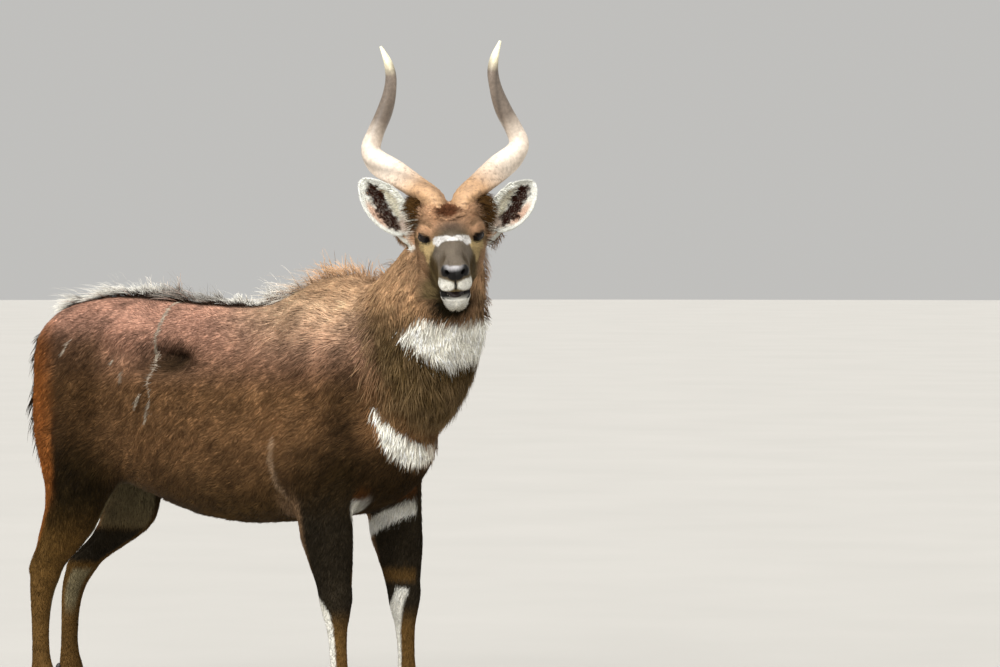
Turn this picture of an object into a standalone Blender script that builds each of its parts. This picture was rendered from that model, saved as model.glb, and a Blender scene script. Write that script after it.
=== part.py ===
"""Life-size still model of a mountain nyala bull, standing square and looking to its right.

Metres, +X towards the chest, +Y to the animal's left, +Z up, the ground at Z 0.
The flesh is lofted from stations, fused into one body and parted with thin cuts; the long hair
of the crest, nape, throat, chest and tail is built as flat tapered locks rooted in that body.
"""

import math
import random

import bmesh
import bpy
import numpy as np
from mathutils import Matrix, Vector
from mathutils.bvhtree import BVHTree

# Driving dimensions
SEED = 7
GAP = 0.0003  # clearance between touching nodes
HEAD_YAW = math.radians(-56)  # the head is turned this far from straight ahead
HEAD_PITCH = math.radians(18)  # the nose points this far below the horizon
HEAD_ROLL = math.radians(2.7)  # the crown leans this far to the animal's right
POLL = Vector((0.688, -0.040, 1.405))  # where the head's own frame has its origin
FUSE_VOXEL = 0.0065
FLESH_TRIANGLES = 4700
HEAD_KEPT_FINER = 0.003  # a very small share here already keeps many more faces on the head
ORIGIN = Vector((0.0800, -0.0490, 0.0))  # the bounding box's bottom centre in the design frame

# Trunk stations from tail to chest: x, back, belly, half width, height of the widest point
TRUNK = (
    (-0.704, 1.075, 0.930, 0.040, 1.010),
    (-0.680, 1.128, 0.820, 0.130, 0.985),
    (-0.606, 1.170, 0.735, 0.190, 0.960),
    (-0.500, 1.192, 0.690, 0.222, 0.930),
    (-0.400, 1.198, 0.655, 0.232, 0.900),
    (-0.300, 1.192, 0.615, 0.238, 0.860),
    (-0.160, 1.180, 0.570, 0.258, 0.820),
    (-0.020, 1.172, 0.550, 0.268, 0.810),
    (0.100, 1.180, 0.553, 0.262, 0.815),
    (0.200, 1.222, 0.560, 0.245, 0.830),
    (0.300, 1.258, 0.572, 0.228, 0.850),
    (0.400, 1.252, 0.592, 0.208, 0.870),
    (0.490, 1.190, 0.630, 0.172, 0.890),
    (0.560, 1.080, 0.690, 0.120, 0.880),
    (0.600, 0.980, 0.770, 0.050, 0.870),
)

# Neck stations upwards: x, y, z, yaw in degrees, half width, reach to the nape, reach to the throat
NECK = (
    (0.270, 0.000, 0.900, 0, 0.170, 0.260, 0.250),
    (0.390, 0.000, 0.970, -2, 0.180, 0.240, 0.262),
    (0.500, -0.004, 1.055, -10, 0.172, 0.205, 0.240),
    (0.580, -0.010, 1.145, -22, 0.160, 0.175, 0.215),
    (0.635, -0.020, 1.235, -36, 0.142, 0.142, 0.168),
    (0.668, -0.030, 1.320, -48, 0.115, 0.112, 0.108),
    (0.684, -0.038, 1.385, -56, 0.084, 0.080, 0.070),
)

# Head stations in the head's own frame, poll to nose: x, top, bottom, half width, widest point
HEAD = (
    (-0.050, 0.025, -0.070, 0.046, -0.025),
    (-0.020, 0.048, -0.105, 0.076, -0.020),
    (0.030, 0.066, -0.138, 0.092, -0.012),
    (0.080, 0.072, -0.154, 0.094, -0.012),
    (0.130, 0.063, -0.155, 0.085, -0.020),
    (0.180, 0.050, -0.150, 0.066, -0.035),
    (0.230, 0.038, -0.142, 0.054, -0.045),
    (0.280, 0.030, -0.134, 0.047, -0.050),
    (0.325, 0.025, -0.128, 0.046, -0.050),
    (0.360, 0.020, -0.118, 0.045, -0.045),
    (0.386, 0.006, -0.100, 0.038, -0.040),
    (0.400, -0.016, -0.066, 0.020, -0.035),
)

# Foreleg stations downwards, in the leg's own frame: forward offset, height, half length fore
# and aft, half width
FORELEG = (
    (0.000, 0.900, 0.100, 0.100, 0.060),
    (-0.010, 0.780, 0.110, 0.120, 0.072),
    (-0.015, 0.680, 0.095, 0.100, 0.066),
    (-0.005, 0.600, 0.080, 0.100, 0.060),
    (0.002, 0.520, 0.072, 0.088, 0.055),
    (0.010, 0.450, 0.062, 0.068, 0.049),
    (0.016, 0.395, 0.053, 0.053, 0.046),
    (0.020, 0.355, 0.050, 0.047, 0.045),
    (0.023, 0.315, 0.042, 0.042, 0.040),
    (0.026, 0.270, 0.031, 0.033, 0.030),
    (0.030, 0.200, 0.026, 0.028, 0.026),
    (0.033, 0.145, 0.028, 0.030, 0.028),
    (0.034, 0.110, 0.033, 0.038, 0.034),
    (0.040, 0.080, 0.030, 0.036, 0.032),
    (0.054, 0.052, 0.033, 0.034, 0.034),
    (0.060, 0.036, 0.034, 0.034, 0.034),
)

# Hind leg stations downwards, as the foreleg's
HINDLEG = (
    (0.150, 0.980, 0.120, 0.120, 0.050),
    (0.155, 0.860, 0.175, 0.164, 0.090),
    (0.155, 0.770, 0.180, 0.152, 0.098),
    (0.150, 0.690, 0.155, 0.122, 0.088),
    (0.130, 0.610, 0.115, 0.096, 0.070),
    (0.098, 0.530, 0.096, 0.086, 0.056),
    (0.066, 0.470, 0.074, 0.074, 0.044),
    (0.034, 0.420, 0.052, 0.066, 0.040),
    (0.016, 0.380, 0.048, 0.048, 0.040),
    (0.004, 0.330, 0.036, 0.036, 0.036),
    (-0.003, 0.260, 0.029, 0.029, 0.029),
    (-0.004, 0.190, 0.027, 0.028, 0.027),
    (-0.002, 0.145, 0.029, 0.031, 0.029),
    (0.004, 0.110, 0.034, 0.038, 0.035),
    (0.016, 0.080, 0.031, 0.037, 0.033),
    (0.032, 0.052, 0.033, 0.034, 0.034),
    (0.038, 0.036, 0.034, 0.034, 0.034),
)

# Where each leg stands: station table, x at the cannon, y at the top, y at the foot, and how far the
# stifle is brought forward
LEGS = {
    "foreleg_right": (FORELEG, 0.345, -0.128, -0.118, 0.0),
    "foreleg_left": (FORELEG, 0.410, 0.128, 0.122, 0.0),
    "hindleg_right": (HINDLEG, -0.650, -0.142, -0.118, 0.0),
    "hindleg_left": (HINDLEG, -0.735, 0.142, 0.124, 0.092),
}
STIFLE_HEIGHT = 0.54
STIFLE_REACH = 0.12

# Hollows of the flesh on both sides: centre, radii and depth
HOLLOWS = (
    ((-0.110, 0.235, 1.020), (0.105, 0.200, 0.052), 0.052),
    ((0.175, 0.230, 0.860), (0.042, 0.200, 0.200), 0.022),
)

# Where the flesh is parted, as x and z of the cuts from above downwards
HEAD_CUT = ((-0.070, 0.300), (-0.048, 0.050), (0.070, -0.165))
NECK_CUT = ((0.245, 1.700), (0.440, 1.250), (0.600, 0.880), (0.678, 0.700))
FORELEG_TOP = 0.610
HINDLEG_TOP = ((-0.800, 0.870), (-0.270, 0.660))

# The face, in the head's own frame
EYE_AT = (0.128, 0.0690, 0.006)
EYE_RADIUS = 0.020
LID = 0.0032
EYE_TURN = math.radians(43)
LID_OPENING = (0.015, 0.0172, 0.0112)
NOSTRIL_AT = (0.396, 0.021, -0.010)
NOSTRIL_RADII = (0.013, 0.0050, 0.0085)
MOUTH = ((0.285, -0.0765), (0.345, -0.0690), (0.430, -0.0640), (0.430, -0.0860), (0.345, -0.0840))
TONGUE_AT = (0.318, 0.0, -0.078)
TONGUE_RADII = (0.062, 0.026, 0.022)
LOWER_TEETH = 8
TOOTH_ARC = (0.052, 0.028, -0.0815)
TOOTH_RADII = (0.0028, 0.0030, 0.0075)

# Horns and ears from the middle of the eyes: out to the side, up, forward, and the horn's diameter
HORN = (
    (0.036, 0.052, -0.036, 0.068),
    (0.042, 0.093, -0.058, 0.073),
    (0.088, 0.136, -0.110, 0.072),
    (0.140, 0.180, -0.158, 0.071),
    (0.190, 0.215, -0.192, 0.067),
    (0.205, 0.245, -0.204, 0.060),
    (0.192, 0.286, -0.204, 0.053),
    (0.168, 0.340, -0.194, 0.046),
    (0.149, 0.394, -0.180, 0.038),
    (0.141, 0.440, -0.170, 0.034),
    (0.147, 0.481, -0.166, 0.026),
    (0.165, 0.527, -0.170, 0.008),
)
HORN_TWIST = math.radians(430)
EAR_STALK = ((0.046, -0.022, -0.100, 0.024), (0.080, -0.012, -0.108, 0.028), (0.112, 0.004, -0.117, 0.027),
             (0.140, 0.032, -0.124, 0.020), (0.156, 0.056, -0.122, 0.008))
EAR_ROOT = (0.116, 0.014, -0.105)
EAR_TIPS = {-1: (0.236, 0.160, -0.125), 1: (0.236, 0.132, -0.125)}
EAR_WIDTH = 0.104
EAR_STEPS = 7
EAR_PROFILE_AT = (0.0, 0.08, 0.2, 0.35, 0.5, 0.65, 0.8, 0.92, 1.0)
EAR_PROFILE = (0.42, 0.66, 0.86, 0.98, 1.0, 0.90, 0.68, 0.38, 0.10)
EAR_CUP = 0.034
EAR_BEND = 0.012
EAR_THICKNESS = 0.005

# A claw's sections from the ground up: share of the coronet's height, reach forward, reach back,
# inner and outer side
CLAW_HALF_GAP = 0.0008
CLAW = (
    (0.0, 0.056, 0.036, 0.0030, 0.0370),
    (0.12, 0.055, 0.036, 0.0024, 0.0372),
    (0.55, 0.046, 0.035, 0.0012, 0.0355),
    (1.0, 0.034, 0.033, 0.0004, 0.0325),
)
CORONET_HEIGHT = 0.048
CORONET_SLOPE = 0.30

# The tail's core from its root down: x, height, half width
TAIL = (
    (-0.640, 1.105, 0.030),
    (-0.690, 1.085, 0.030),
    (-0.722, 1.030, 0.026),
    (-0.732, 0.950, 0.022),
    (-0.734, 0.880, 0.018),
    (-0.732, 0.800, 0.010),
)

# Locks of long hair. Along the back and up the nape: x, y, length, lift from the skin in degrees
CREST = (
    (-0.600, 0.000, 0.060, 26), (-0.500, 0.000, 0.072, 32), (-0.300, 0.000, 0.072, 34),
    (-0.100, 0.000, 0.074, 36), (0.100, 0.000, 0.088, 42), (0.250, 0.000, 0.100, 46),
    (0.415, 0.000, 0.104, 46),
)
NAPE = (
    (0.455, 0.004, 0.104, 44), (0.520, 0.018, 0.100, 40),
    (0.575, 0.034, 0.088, 36), (0.615, 0.036, 0.070, 30),
)
CREST_LOCKS = 26
NAPE_LOCKS = 8
SPINE_LOCK = (0.030, 0.0062)  # half width along the spine, half thickness

# Rows of locks round the neck: ring of the neck, locks in the row, half the fan in degrees,
# length, lift from the skin in degrees
RUFF = (
    (20, 7, 96, 0.110, 26), (18, 8, 112, 0.130, 27), (15, 8, 122, 0.145, 26),
    (12, 8, 124, 0.145, 24), (9, 8, 112, 0.140, 22),
)
RUFF_LOCK = (0.036, 0.0085)

# The chest patch under the ruff: height, locks in the row, half spread, length
CHEST = ((0.860, 6, 0.125, 0.115), (0.810, 4, 0.075, 0.115))
CHEST_SAG = 0.035
TAIL_LOCKS = 9
TAIL_LOCK_LENGTH = 0.115
TAIL_LOCK = (0.013, 0.0055)
GOLDEN_TURN = 2.4
SPINE_STAGGER = 0.008
# Sections of a lock from its sunk root to its tip: share of its length, of its width, of its thickness
LOCK_SECTIONS = ((-1, 0.8, 1.1), (0.30, 1.0, 1.0), (0.70, 0.72, 0.8), (1.0, 0.06, 0.12))
SUNK = 0.014  # how far a lock's root goes into the flesh

# Plain colours of the nodes and their roughness
COLOURS = {
    "head": ("7A5A45", 0.75),
    "neck": ("69503F", 0.85),
    "torso": ("6C5748", 0.80),
    "foreleg": ("4E3A2F", 0.75),
    "hindleg": ("5A4132", 0.75),
    "hoof": ("26211F", 0.45),
    "horn": ("A98C70", 0.50),
    "ear": ("A5836C", 0.80),
    "eye": ("1B120D", 0.10),
    "tail": ("4A382E", 0.85),
}


def smooth_rows(rows, per_span):
    """Catmull-Rom samples through rows of numbers, per_span to each span."""
    table = np.array(rows, float)
    padded = np.vstack([2 * table[0] - table[1], table, 2 * table[-1] - table[-2]])
    samples = []
    for i in range(len(table) - 1):
        a, b, c, d = padded[i : i + 4]
        for step in range(per_span):
            t = step / per_span
            samples.append(
                0.5 * (2 * b + (c - a) * t + (2 * a - 5 * b + 4 * c - d) * t**2
                       + (3 * b - a - 3 * c + d) * t**3)
            )
    samples.append(table[-1])
    return samples


def tube(rings, sides=24, power=2.0):
    """A closed bmesh grown by extruding one circle through the rings.

    A ring is (centre, side, up, half_side, half_up, half_down); power squares the section.
    """
    bm = bmesh.new()
    turn = bm.verts.layers.float.new("turn")

    def place(verts, ring):
        centre, side, up, half_side, half_up, half_down = ring
        for v in verts:
            c, s = math.cos(v[turn]), math.sin(v[turn])
            across = math.copysign(abs(c) ** (2 / power), c) * half_side
            along = math.copysign(abs(s) ** (2 / power), s) * (half_up if s > 0 else half_down)
            v.co = centre + side * across + up * along

    verts = bmesh.ops.create_circle(bm, cap_ends=True, segments=sides, radius=1)["verts"]
    for v in verts:
        v[turn] = math.atan2(v.co.y, v.co.x)
    edges = list(bm.edges)
    place(verts, rings[0])
    for ring in rings[1:]:
        grown = bmesh.ops.extrude_edge_only(bm, edges=edges)["geom"]
        verts = [g for g in grown if isinstance(g, bmesh.types.BMVert)]
        fresh = set(verts)
        edges = [g for g in grown if isinstance(g, bmesh.types.BMEdge) and fresh.issuperset(g.verts)]
        place(verts, ring)
    bmesh.ops.contextual_create(bm, geom=edges)
    bmesh.ops.recalc_face_normals(bm, faces=bm.faces)
    return bm


def ellipsoid(centre, radii, rotation=None, detail=3):
    """A closed bmesh ball scaled to radii, turned by rotation and moved to centre."""
    bm = bmesh.new()
    bmesh.ops.create_icosphere(bm, subdivisions=detail, radius=1)
    turn = rotation.to_4x4() if rotation else Matrix.Identity(4)
    bm.transform(Matrix.Translation(centre) @ turn @ Matrix.Diagonal((*radii, 1)))
    return bm


def make_object(name, bm):
    """A mesh object of that bmesh, linked to the scene."""
    mesh = bpy.data.meshes.new(name)
    bm.to_mesh(mesh)
    bm.free()
    made = bpy.data.objects.new(name, mesh)
    bpy.context.scene.collection.objects.link(made)
    return made


def joined(pieces):
    """One bmesh that holds all the pieces."""
    whole = bmesh.new()
    for piece in pieces:
        held = bpy.data.meshes.new("held")
        piece.to_mesh(held)
        piece.free()
        whole.from_mesh(held)
        bpy.data.meshes.remove(held)
    return whole


def bake(obj):
    """Applies the object's modifiers to its mesh."""
    graph = bpy.context.evaluated_depsgraph_get()
    mesh = bpy.data.meshes.new_from_object(obj.evaluated_get(graph))
    obj.modifiers.clear()
    obj.data = mesh
    return obj


def head_turn():
    """The head's turn and lean, before its nose is lowered."""
    return Matrix.Rotation(HEAD_YAW, 3, "Z") @ Matrix.Rotation(HEAD_ROLL, 3, "X")


def head_frame():
    """The matrix from the head's own frame (x to the nose, y left, z up) to the model's."""
    pitch = Matrix.Rotation(HEAD_PITCH, 4, "Y")
    return Matrix.Translation(POLL) @ head_turn().to_4x4() @ pitch


def trunk_tube():
    """The barrel of the body with its deep belly and high withers."""
    rings = [
        (Vector((x, 0, wide)), Vector((0, 1, 0)), Vector((0, 0, 1)), half, top - wide, wide - low)
        for x, top, low, half, wide in smooth_rows(TRUNK, 3)
    ]
    return tube(rings, 32, 2.15)


def neck_rings():
    """Rings up the neck, turning with it towards the head."""
    rows = smooth_rows(NECK, 4)
    rings = []
    for i, (x, y, z, yaw, half, nape, throat) in enumerate(rows):
        before, after = rows[max(i - 1, 0)], rows[min(i + 1, len(rows) - 1)]
        along = (Vector(after[:3]) - Vector(before[:3])).normalized()
        side = Matrix.Rotation(math.radians(yaw), 3, "Z") @ Vector((0, 1, 0))
        side = (side - along * side.dot(along)).normalized()
        up = along.cross(side).normalized()
        rings.append((Vector((x, y, z)), side, up, half, nape, throat))
    return rings


def leg_tube(table, x0, y_top, y_foot, bend):
    """A leg from shoulder or hip to the top of the hoof."""
    rings = []
    highest = table[0][1]
    for forward, z, fore, aft, half in smooth_rows(table, 3):
        y = y_foot + (y_top - y_foot) * min(1.0, z / (0.75 * highest))
        forward += bend * math.exp(-(((z - STIFLE_HEIGHT) / STIFLE_REACH) ** 2))
        side = Vector((0, 1, 0))
        rings.append((Vector((x0 + forward, y, z)), side, Vector((1, 0, 0)), half, fore, aft))
    return tube(rings, 20, 2.0)


def head_pieces(frame):
    """The skull, brow, cheeks and muzzle in the head's own frame, moved into place."""
    rings = [
        (Vector((x, 0, wide)), Vector((0, 1, 0)), Vector((0, 0, 1)), half, top - wide, wide - low)
        for x, top, low, half, wide in smooth_rows(HEAD, 3)
    ]
    pieces = [tube(rings, 28, 2.2)]
    for side in (-1, 1):
        pieces.append(ellipsoid(Vector((0.122, side * 0.064, 0.010)), (0.046, 0.028, 0.034)))
        pieces.append(ellipsoid(Vector((0.036, side * 0.070, 0.036)), (0.046, 0.036, 0.044)))
        pieces.append(ellipsoid(Vector((0.075, side * 0.050, -0.090)), (0.075, 0.028, 0.055)))
        pieces.append(ellipsoid(Vector((0.378, side * 0.020, -0.010)), (0.024, 0.020, 0.022)))
        pieces.append(ellipsoid(Vector((0.352, side * 0.024, -0.052)), (0.038, 0.023, 0.022)))
        pieces.append(ellipsoid(Vector((0.060, side * 0.042, 0.056)), (0.045, 0.036, 0.026)))
    pieces.append(ellipsoid(Vector((0.350, 0, -0.108)), (0.038, 0.032, 0.026)))
    for piece in pieces:
        piece.transform(frame)
    return pieces


def muscle_pieces():
    """Shoulder, upper arm, haunch and hip masses on both sides."""
    pieces = []
    for side in (-1, 1):
        tilt = Matrix.Rotation(math.radians(-20), 3, "Y")
        pieces.append(ellipsoid(Vector((0.335, side * 0.150, 0.975)), (0.115, 0.075, 0.235), tilt))
        pieces.append(ellipsoid(Vector((0.300, side * 0.165, 0.770)), (0.125, 0.070, 0.140)))
        pieces.append(ellipsoid(Vector((0.455, side * 0.115, 0.850)), (0.085, 0.075, 0.120)))
        lean = Matrix.Rotation(math.radians(15), 3, "Y")
        pieces.append(ellipsoid(Vector((-0.490, side * 0.140, 0.900)), (0.170, 0.095, 0.230), lean))
        pieces.append(ellipsoid(Vector((-0.340, side * 0.140, 1.080)), (0.110, 0.075, 0.075)))
    return pieces


def dent(body):
    """Presses the hollows of the body in towards its middle plane."""
    for v in body.data.vertices:
        for centre, radii, depth in HOLLOWS:
            away = sum(((abs(c) if n == 1 else c) - m) ** 2 / r**2
                       for n, (c, m, r) in enumerate(zip(v.co, centre, radii)))
            v.co.y -= math.copysign(depth * math.exp(-away), v.co.y)


def flesh():
    """All the flesh fused into one smooth closed body of about FLESH_TRIANGLES."""
    pieces = [trunk_tube(), tube(neck_rings(), 28, 2.1)]
    pieces += [leg_tube(*LEGS[name]) for name in LEGS]
    pieces += muscle_pieces()
    pieces += head_pieces(head_frame())
    body = make_object("flesh", joined(pieces))
    remesh = body.modifiers.new("fuse", "REMESH")
    remesh.mode = "VOXEL"
    remesh.voxel_size = FUSE_VOXEL
    settle = body.modifiers.new("settle", "SMOOTH")
    settle.factor = 0.5
    settle.iterations = 8
    bake(body)
    trunk = body.vertex_groups.new(name="trunk")
    to_head = head_frame().inverted()
    for v in body.data.vertices:
        away_from_head = min(1.0, max(0.0, -(to_head @ v.co).x / 0.05)) if v.co.z > 1.0 else 1.0
        above_legs = min(1.0, max(0.0, (v.co.z - 0.50) / 0.12))
        trunk.add([v.index], away_from_head * above_legs, "REPLACE")
    blend = body.modifiers.new("blend the muscles", "SMOOTH")
    blend.factor = 0.5
    blend.iterations = 120
    blend.vertex_group = "trunk"
    bake(body)
    dent(body)
    thinned = body.vertex_groups.new(name="thinned")
    for v in body.data.vertices:
        on_head = v.co.z > 1.1 and (to_head @ v.co).x > 0.0
        thinned.add([v.index], 1.0 - HEAD_KEPT_FINER * on_head, "REPLACE")
    thin = body.modifiers.new("thin", "DECIMATE")
    thin.ratio = FLESH_TRIANGLES / sum(len(p.vertices) - 2 for p in body.data.polygons)
    thin.vertex_group = "thinned"
    thin.vertex_group_factor = 1.0
    thin.use_collapse_triangulate = True
    return bake(body)


def prism(corners, near, far, frame=None):
    """A closed prism over corners in the XZ plane, from y near to y far, moved by frame."""
    bm = bmesh.new()
    face = bm.faces.new([bm.verts.new((x, near, z)) for x, z in corners])
    grown = bmesh.ops.extrude_face_region(bm, geom=[face])["geom"]
    moved = [g for g in grown if isinstance(g, bmesh.types.BMVert)]
    bmesh.ops.translate(bm, verts=moved, vec=(0, far - near, 0))
    bmesh.ops.recalc_face_normals(bm, faces=bm.faces)
    if frame:
        bm.transform(frame)
    return bm


def boolean(obj, operation, pieces, crossing=False):
    """Cuts obj by, or joins it with, the closed pieces, which are used up; crossing ones may cross themselves."""
    helpers = bpy.data.collections.new("helpers")
    bpy.context.scene.collection.children.link(helpers)
    for i, piece in enumerate(pieces):
        helper = make_object(f"helper_{i}", piece)
        bpy.context.scene.collection.objects.unlink(helper)
        helpers.objects.link(helper)
    change = obj.modifiers.new("change", "BOOLEAN")
    change.operation = operation
    change.use_self = crossing
    if len(pieces) > 1 or operation == "UNION":
        change.operand_type = "COLLECTION"
        change.collection = helpers
    else:
        change.object = helpers.objects[0]
    bake(obj)
    for helper in list(helpers.objects):
        bpy.data.objects.remove(helper)
    bpy.data.collections.remove(helpers)
    return keep_largest(obj)


def keep_largest(obj):
    """Leaves the object only its largest closed surface."""
    bm = bmesh.new()
    bm.from_mesh(obj.data)
    bmesh.ops.triangulate(bm, faces=bm.faces)
    unseen = set(bm.verts)
    shells = []
    while unseen:
        shell = {unseen.pop()}
        edge_of_shell = list(shell)
        while edge_of_shell:
            v = edge_of_shell.pop()
            fresh = {e.other_vert(v) for e in v.link_edges} & unseen
            unseen -= fresh
            shell |= fresh
            edge_of_shell += fresh
        shells.append(shell)
    largest = max(shells, key=len)
    bmesh.ops.delete(bm, geom=[v for v in bm.verts if v not in largest], context="VERTS")
    bm.to_mesh(obj.data)
    bm.free()
    return obj


def copy_of(obj, name):
    """A second object with its own copy of the mesh."""
    made = bpy.data.objects.new(name, obj.data.copy())
    bpy.context.scene.collection.objects.link(made)
    return made


def grown(obj, by):
    """The object's mesh as a bmesh pushed out along its normals."""
    bm = bmesh.new()
    bm.from_mesh(obj.data)
    bm.normal_update()
    for v in bm.verts:
        v.co += v.normal * by
    return bm


def region(name, spare=0.0):
    """The prism that holds one node's share of the flesh, spare wider on the sides it is cut on."""
    if name == "head":
        back = [(x - spare, z) for x, z in HEAD_CUT]
        back[-1] = (back[-1][0], back[-1][1] - spare)
        corners = back + [(0.6, back[-1][1]), (0.6, 0.3)]
        return prism(corners, -0.3, 0.3, head_frame())
    if name == "neck":
        corners = [(x - spare, z) for x, z in NECK_CUT] + [(1.2, 0.7), (1.2, 1.7)]
        return prism(corners, -0.6, 0.6)
    side = 1 if name.endswith("left") else -1
    x0 = LEGS[name][1]
    if name.startswith("fore"):
        top = FORELEG_TOP + spare
        corners = [(x0 - 0.12, top), (x0 + 0.11, top), (x0 + 0.11, -0.1), (x0 - 0.12, -0.1)]
    else:
        (x1, z1), (x2, z2) = HINDLEG_TOP
        corners = [(-1.1, z1 + spare), (x1, z1 + spare), (x2 + spare, z2 + spare),
                   (x2 + spare, -0.1), (-1.1, -0.1)]
    return prism(corners, side * (0.030 - spare), side * 0.40)


def part_flesh(body):
    """Parts the flesh into head, neck, torso and legs with thin gaps."""
    nodes = {}
    for name in ("head", "neck", *LEGS):
        nodes[name] = boolean(copy_of(body, name), "INTERSECT", [region(name)])
    boolean(nodes["neck"], "DIFFERENCE", [region("head", GAP)])
    nodes["torso"] = copy_of(body, "torso")
    for name in ("neck", *LEGS):
        boolean(nodes["torso"], "DIFFERENCE", [region(name, GAP)])
    bpy.data.objects.remove(body)
    return nodes


def face_to_world(lateral, height, forward, side):
    """A point given from the middle of the eyes in the head's level frame."""
    x, _, z = EYE_AT
    return head_frame() @ Vector((x, 0, z)) + head_turn() @ Vector((forward, side * lateral, height))


def horn(side, name):
    """A lyre-shaped horn with a keel that winds up it, its foot cut to the skull later."""
    rows = smooth_rows(HORN, 2)
    points = [face_to_world(*row[:3], side) for row in rows]
    up = Vector((0, 0, 1))
    rings = []
    for i, point in enumerate(points):
        along = (points[min(i + 1, len(points) - 1)] - points[max(i - 1, 0)]).normalized()
        up = (up - along * up.dot(along)).normalized()
        turn = Matrix.Rotation(side * HORN_TWIST * i / (len(points) - 1), 3, along)
        keel = turn @ up
        half = rows[i][3] / 2
        rings.append((point, along.cross(keel), keel, half * 0.94, half * 1.10, half * 0.92))
    return make_object(name, tube(rings, 12, 1.75))


def ear(side, name):
    """A cupped leaf of skin on a short stalk, its foot cut to the skull later."""
    root = face_to_world(*EAR_ROOT, side)
    tip = face_to_world(*EAR_TIPS[side], side)
    axis = tip - root
    forward = head_turn() @ Vector((1, 0, 0))
    forward = (forward - axis * forward.dot(axis) / axis.length_squared).normalized()
    across = axis.normalized().cross(forward) * side
    bm = bmesh.new()
    bmesh.ops.create_grid(bm, x_segments=EAR_STEPS, y_segments=6, size=1)
    for v in bm.verts:
        along, over = (v.co.x + 1) / 2, v.co.y
        half = np.interp(along, EAR_PROFILE_AT, EAR_PROFILE) * EAR_WIDTH / 2
        cup = EAR_CUP * (over * over) * half / (EAR_WIDTH / 2)
        v.co = root + axis * along + across * over * half + forward * (cup + EAR_BEND * along**2)
    leaf = make_object(name, bm)
    skin = leaf.modifiers.new("thickness", "SOLIDIFY")
    skin.thickness = EAR_THICKNESS
    skin.offset = 0
    bake(leaf)
    rings = []
    for lateral, height, toward, half in smooth_rows(EAR_STALK, 2):
        point = face_to_world(lateral, height, toward, side)
        rings.append((point, across, forward, half, half * 0.8, half * 0.8))
    boolean(leaf, "UNION", [tube(rings, 10)])
    return leaf


def eye_centre(side):
    """The middle of an eyeball."""
    x, y, z = EYE_AT
    return head_frame() @ Vector((x, side * y, z))


def dress_head(head):
    """Cuts sockets, nostrils and the mouth into the head and adds lids and lower teeth."""
    frame = head_frame()
    turned = frame.to_3x3()
    lids = [ellipsoid(eye_centre(side), [EYE_RADIUS + LID] * 3, None, 2) for side in (-1, 1)]
    boolean(head, "UNION", lids)
    cuts = [prism(MOUTH, -0.08, 0.08, frame)]
    for side in (-1, 1):
        out = turned @ Matrix.Rotation(side * EYE_TURN, 3, "Z")
        opening = eye_centre(side) + out @ Vector((EYE_RADIUS, 0, 0.0))
        cuts.append(ellipsoid(opening, LID_OPENING, out, 2))
        cuts.append(ellipsoid(eye_centre(side), [(EYE_RADIUS + GAP) * 1.004] * 3, None, 3))
        x, y, z = NOSTRIL_AT
        flare = turned @ Matrix.Rotation(side * math.radians(35), 3, "Z")
        flare = flare @ Matrix.Rotation(side * math.radians(-25), 3, "X")
        nostril = frame @ Vector((x, side * y, z))
        cuts.append(ellipsoid(nostril, NOSTRIL_RADII, flare, 2))
    for cut in cuts:
        boolean(head, "DIFFERENCE", [cut])
    inside = [ellipsoid(Vector(TONGUE_AT), TONGUE_RADII, None, 2)]
    for i in range(LOWER_TEETH):
        turn = (i - (LOWER_TEETH - 1) / 2) * 0.24
        reach, spread, z = TOOTH_ARC
        place = Vector((TONGUE_AT[0] + reach * math.cos(turn), spread * math.sin(turn), z))
        inside.append(ellipsoid(place, TOOTH_RADII, None, 1))
    for piece in inside:
        piece.transform(frame)
    boolean(head, "UNION", inside)


def claw(foot, side, name):
    """One half of a cloven hoof, flat on the ground, with its coronet sloping down to the heel."""
    table, x0, _, y_foot, _ = LEGS[foot]
    middle = Vector((x0 + table[-1][0], y_foot + side * CLAW_HALF_GAP, 0))
    rings = []
    for share, front, back, inner, outer in CLAW:
        height = CORONET_HEIGHT * share
        centre = middle + Vector((0, 0, height))
        mid, half = (inner + outer) / 2, (outer - inner) / 2
        centre.y += side * mid
        rings.append((centre, Vector((0, 1, 0)), Vector((1, 0, 0)), half, front, back))
    bm = tube(rings, 12, 2.3)
    for v in bm.verts:
        share = v.co.z / CORONET_HEIGHT
        v.co.z += share * CORONET_SLOPE * (v.co.x - middle.x)
    return make_object(name, bm)


def coronet_cut(foot, spare):
    """The slab under the sloping plane where a leg ends and its hoof begins."""
    table, x0, _, y_foot, _ = LEGS[foot]
    x = x0 + table[-1][0]
    corners = [(x - 0.2, CORONET_HEIGHT - 0.2 * CORONET_SLOPE + spare),
               (x + 0.2, CORONET_HEIGHT + 0.2 * CORONET_SLOPE + spare), (x + 0.2, -0.2), (x - 0.2, -0.2)]
    return prism(corners, y_foot - 0.15, y_foot + 0.15)


def tail_core(name):
    """The hanging tail without its long hair."""
    rings = []
    for x, z, half in smooth_rows(TAIL, 3):
        rings.append((Vector((x, 0, z)), Vector((0, 1, 0)), Vector((-1, 0, 0)), half, half, half))
    return make_object(name, tube(rings, 10))


def lock(root, normal, lie, length, lift, half_width, half_thick, across=None):
    """One flat tapered lock: rooted under the skin, rising by lift and settling along its lie."""
    lie = (lie - normal * lie.dot(normal)).normalized()
    across = across or lie.cross(normal)
    along = lie * math.cos(lift) + normal * math.sin(lift)
    flat = along.cross(across).normalized()
    rings = []
    for share, wide, thick in LOCK_SECTIONS:
        if share < 0:
            centre = root - normal * SUNK - lie * SUNK * 0.5
        else:
            rise = math.sin(lift) * share * (1.25 - 0.55 * share)
            centre = root + (lie * (math.cos(lift) * share) + normal * rise) * length
        rings.append((centre, across, flat, half_width * wide, half_thick * thick, half_thick * thick))
    return tube(rings, 3)


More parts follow.
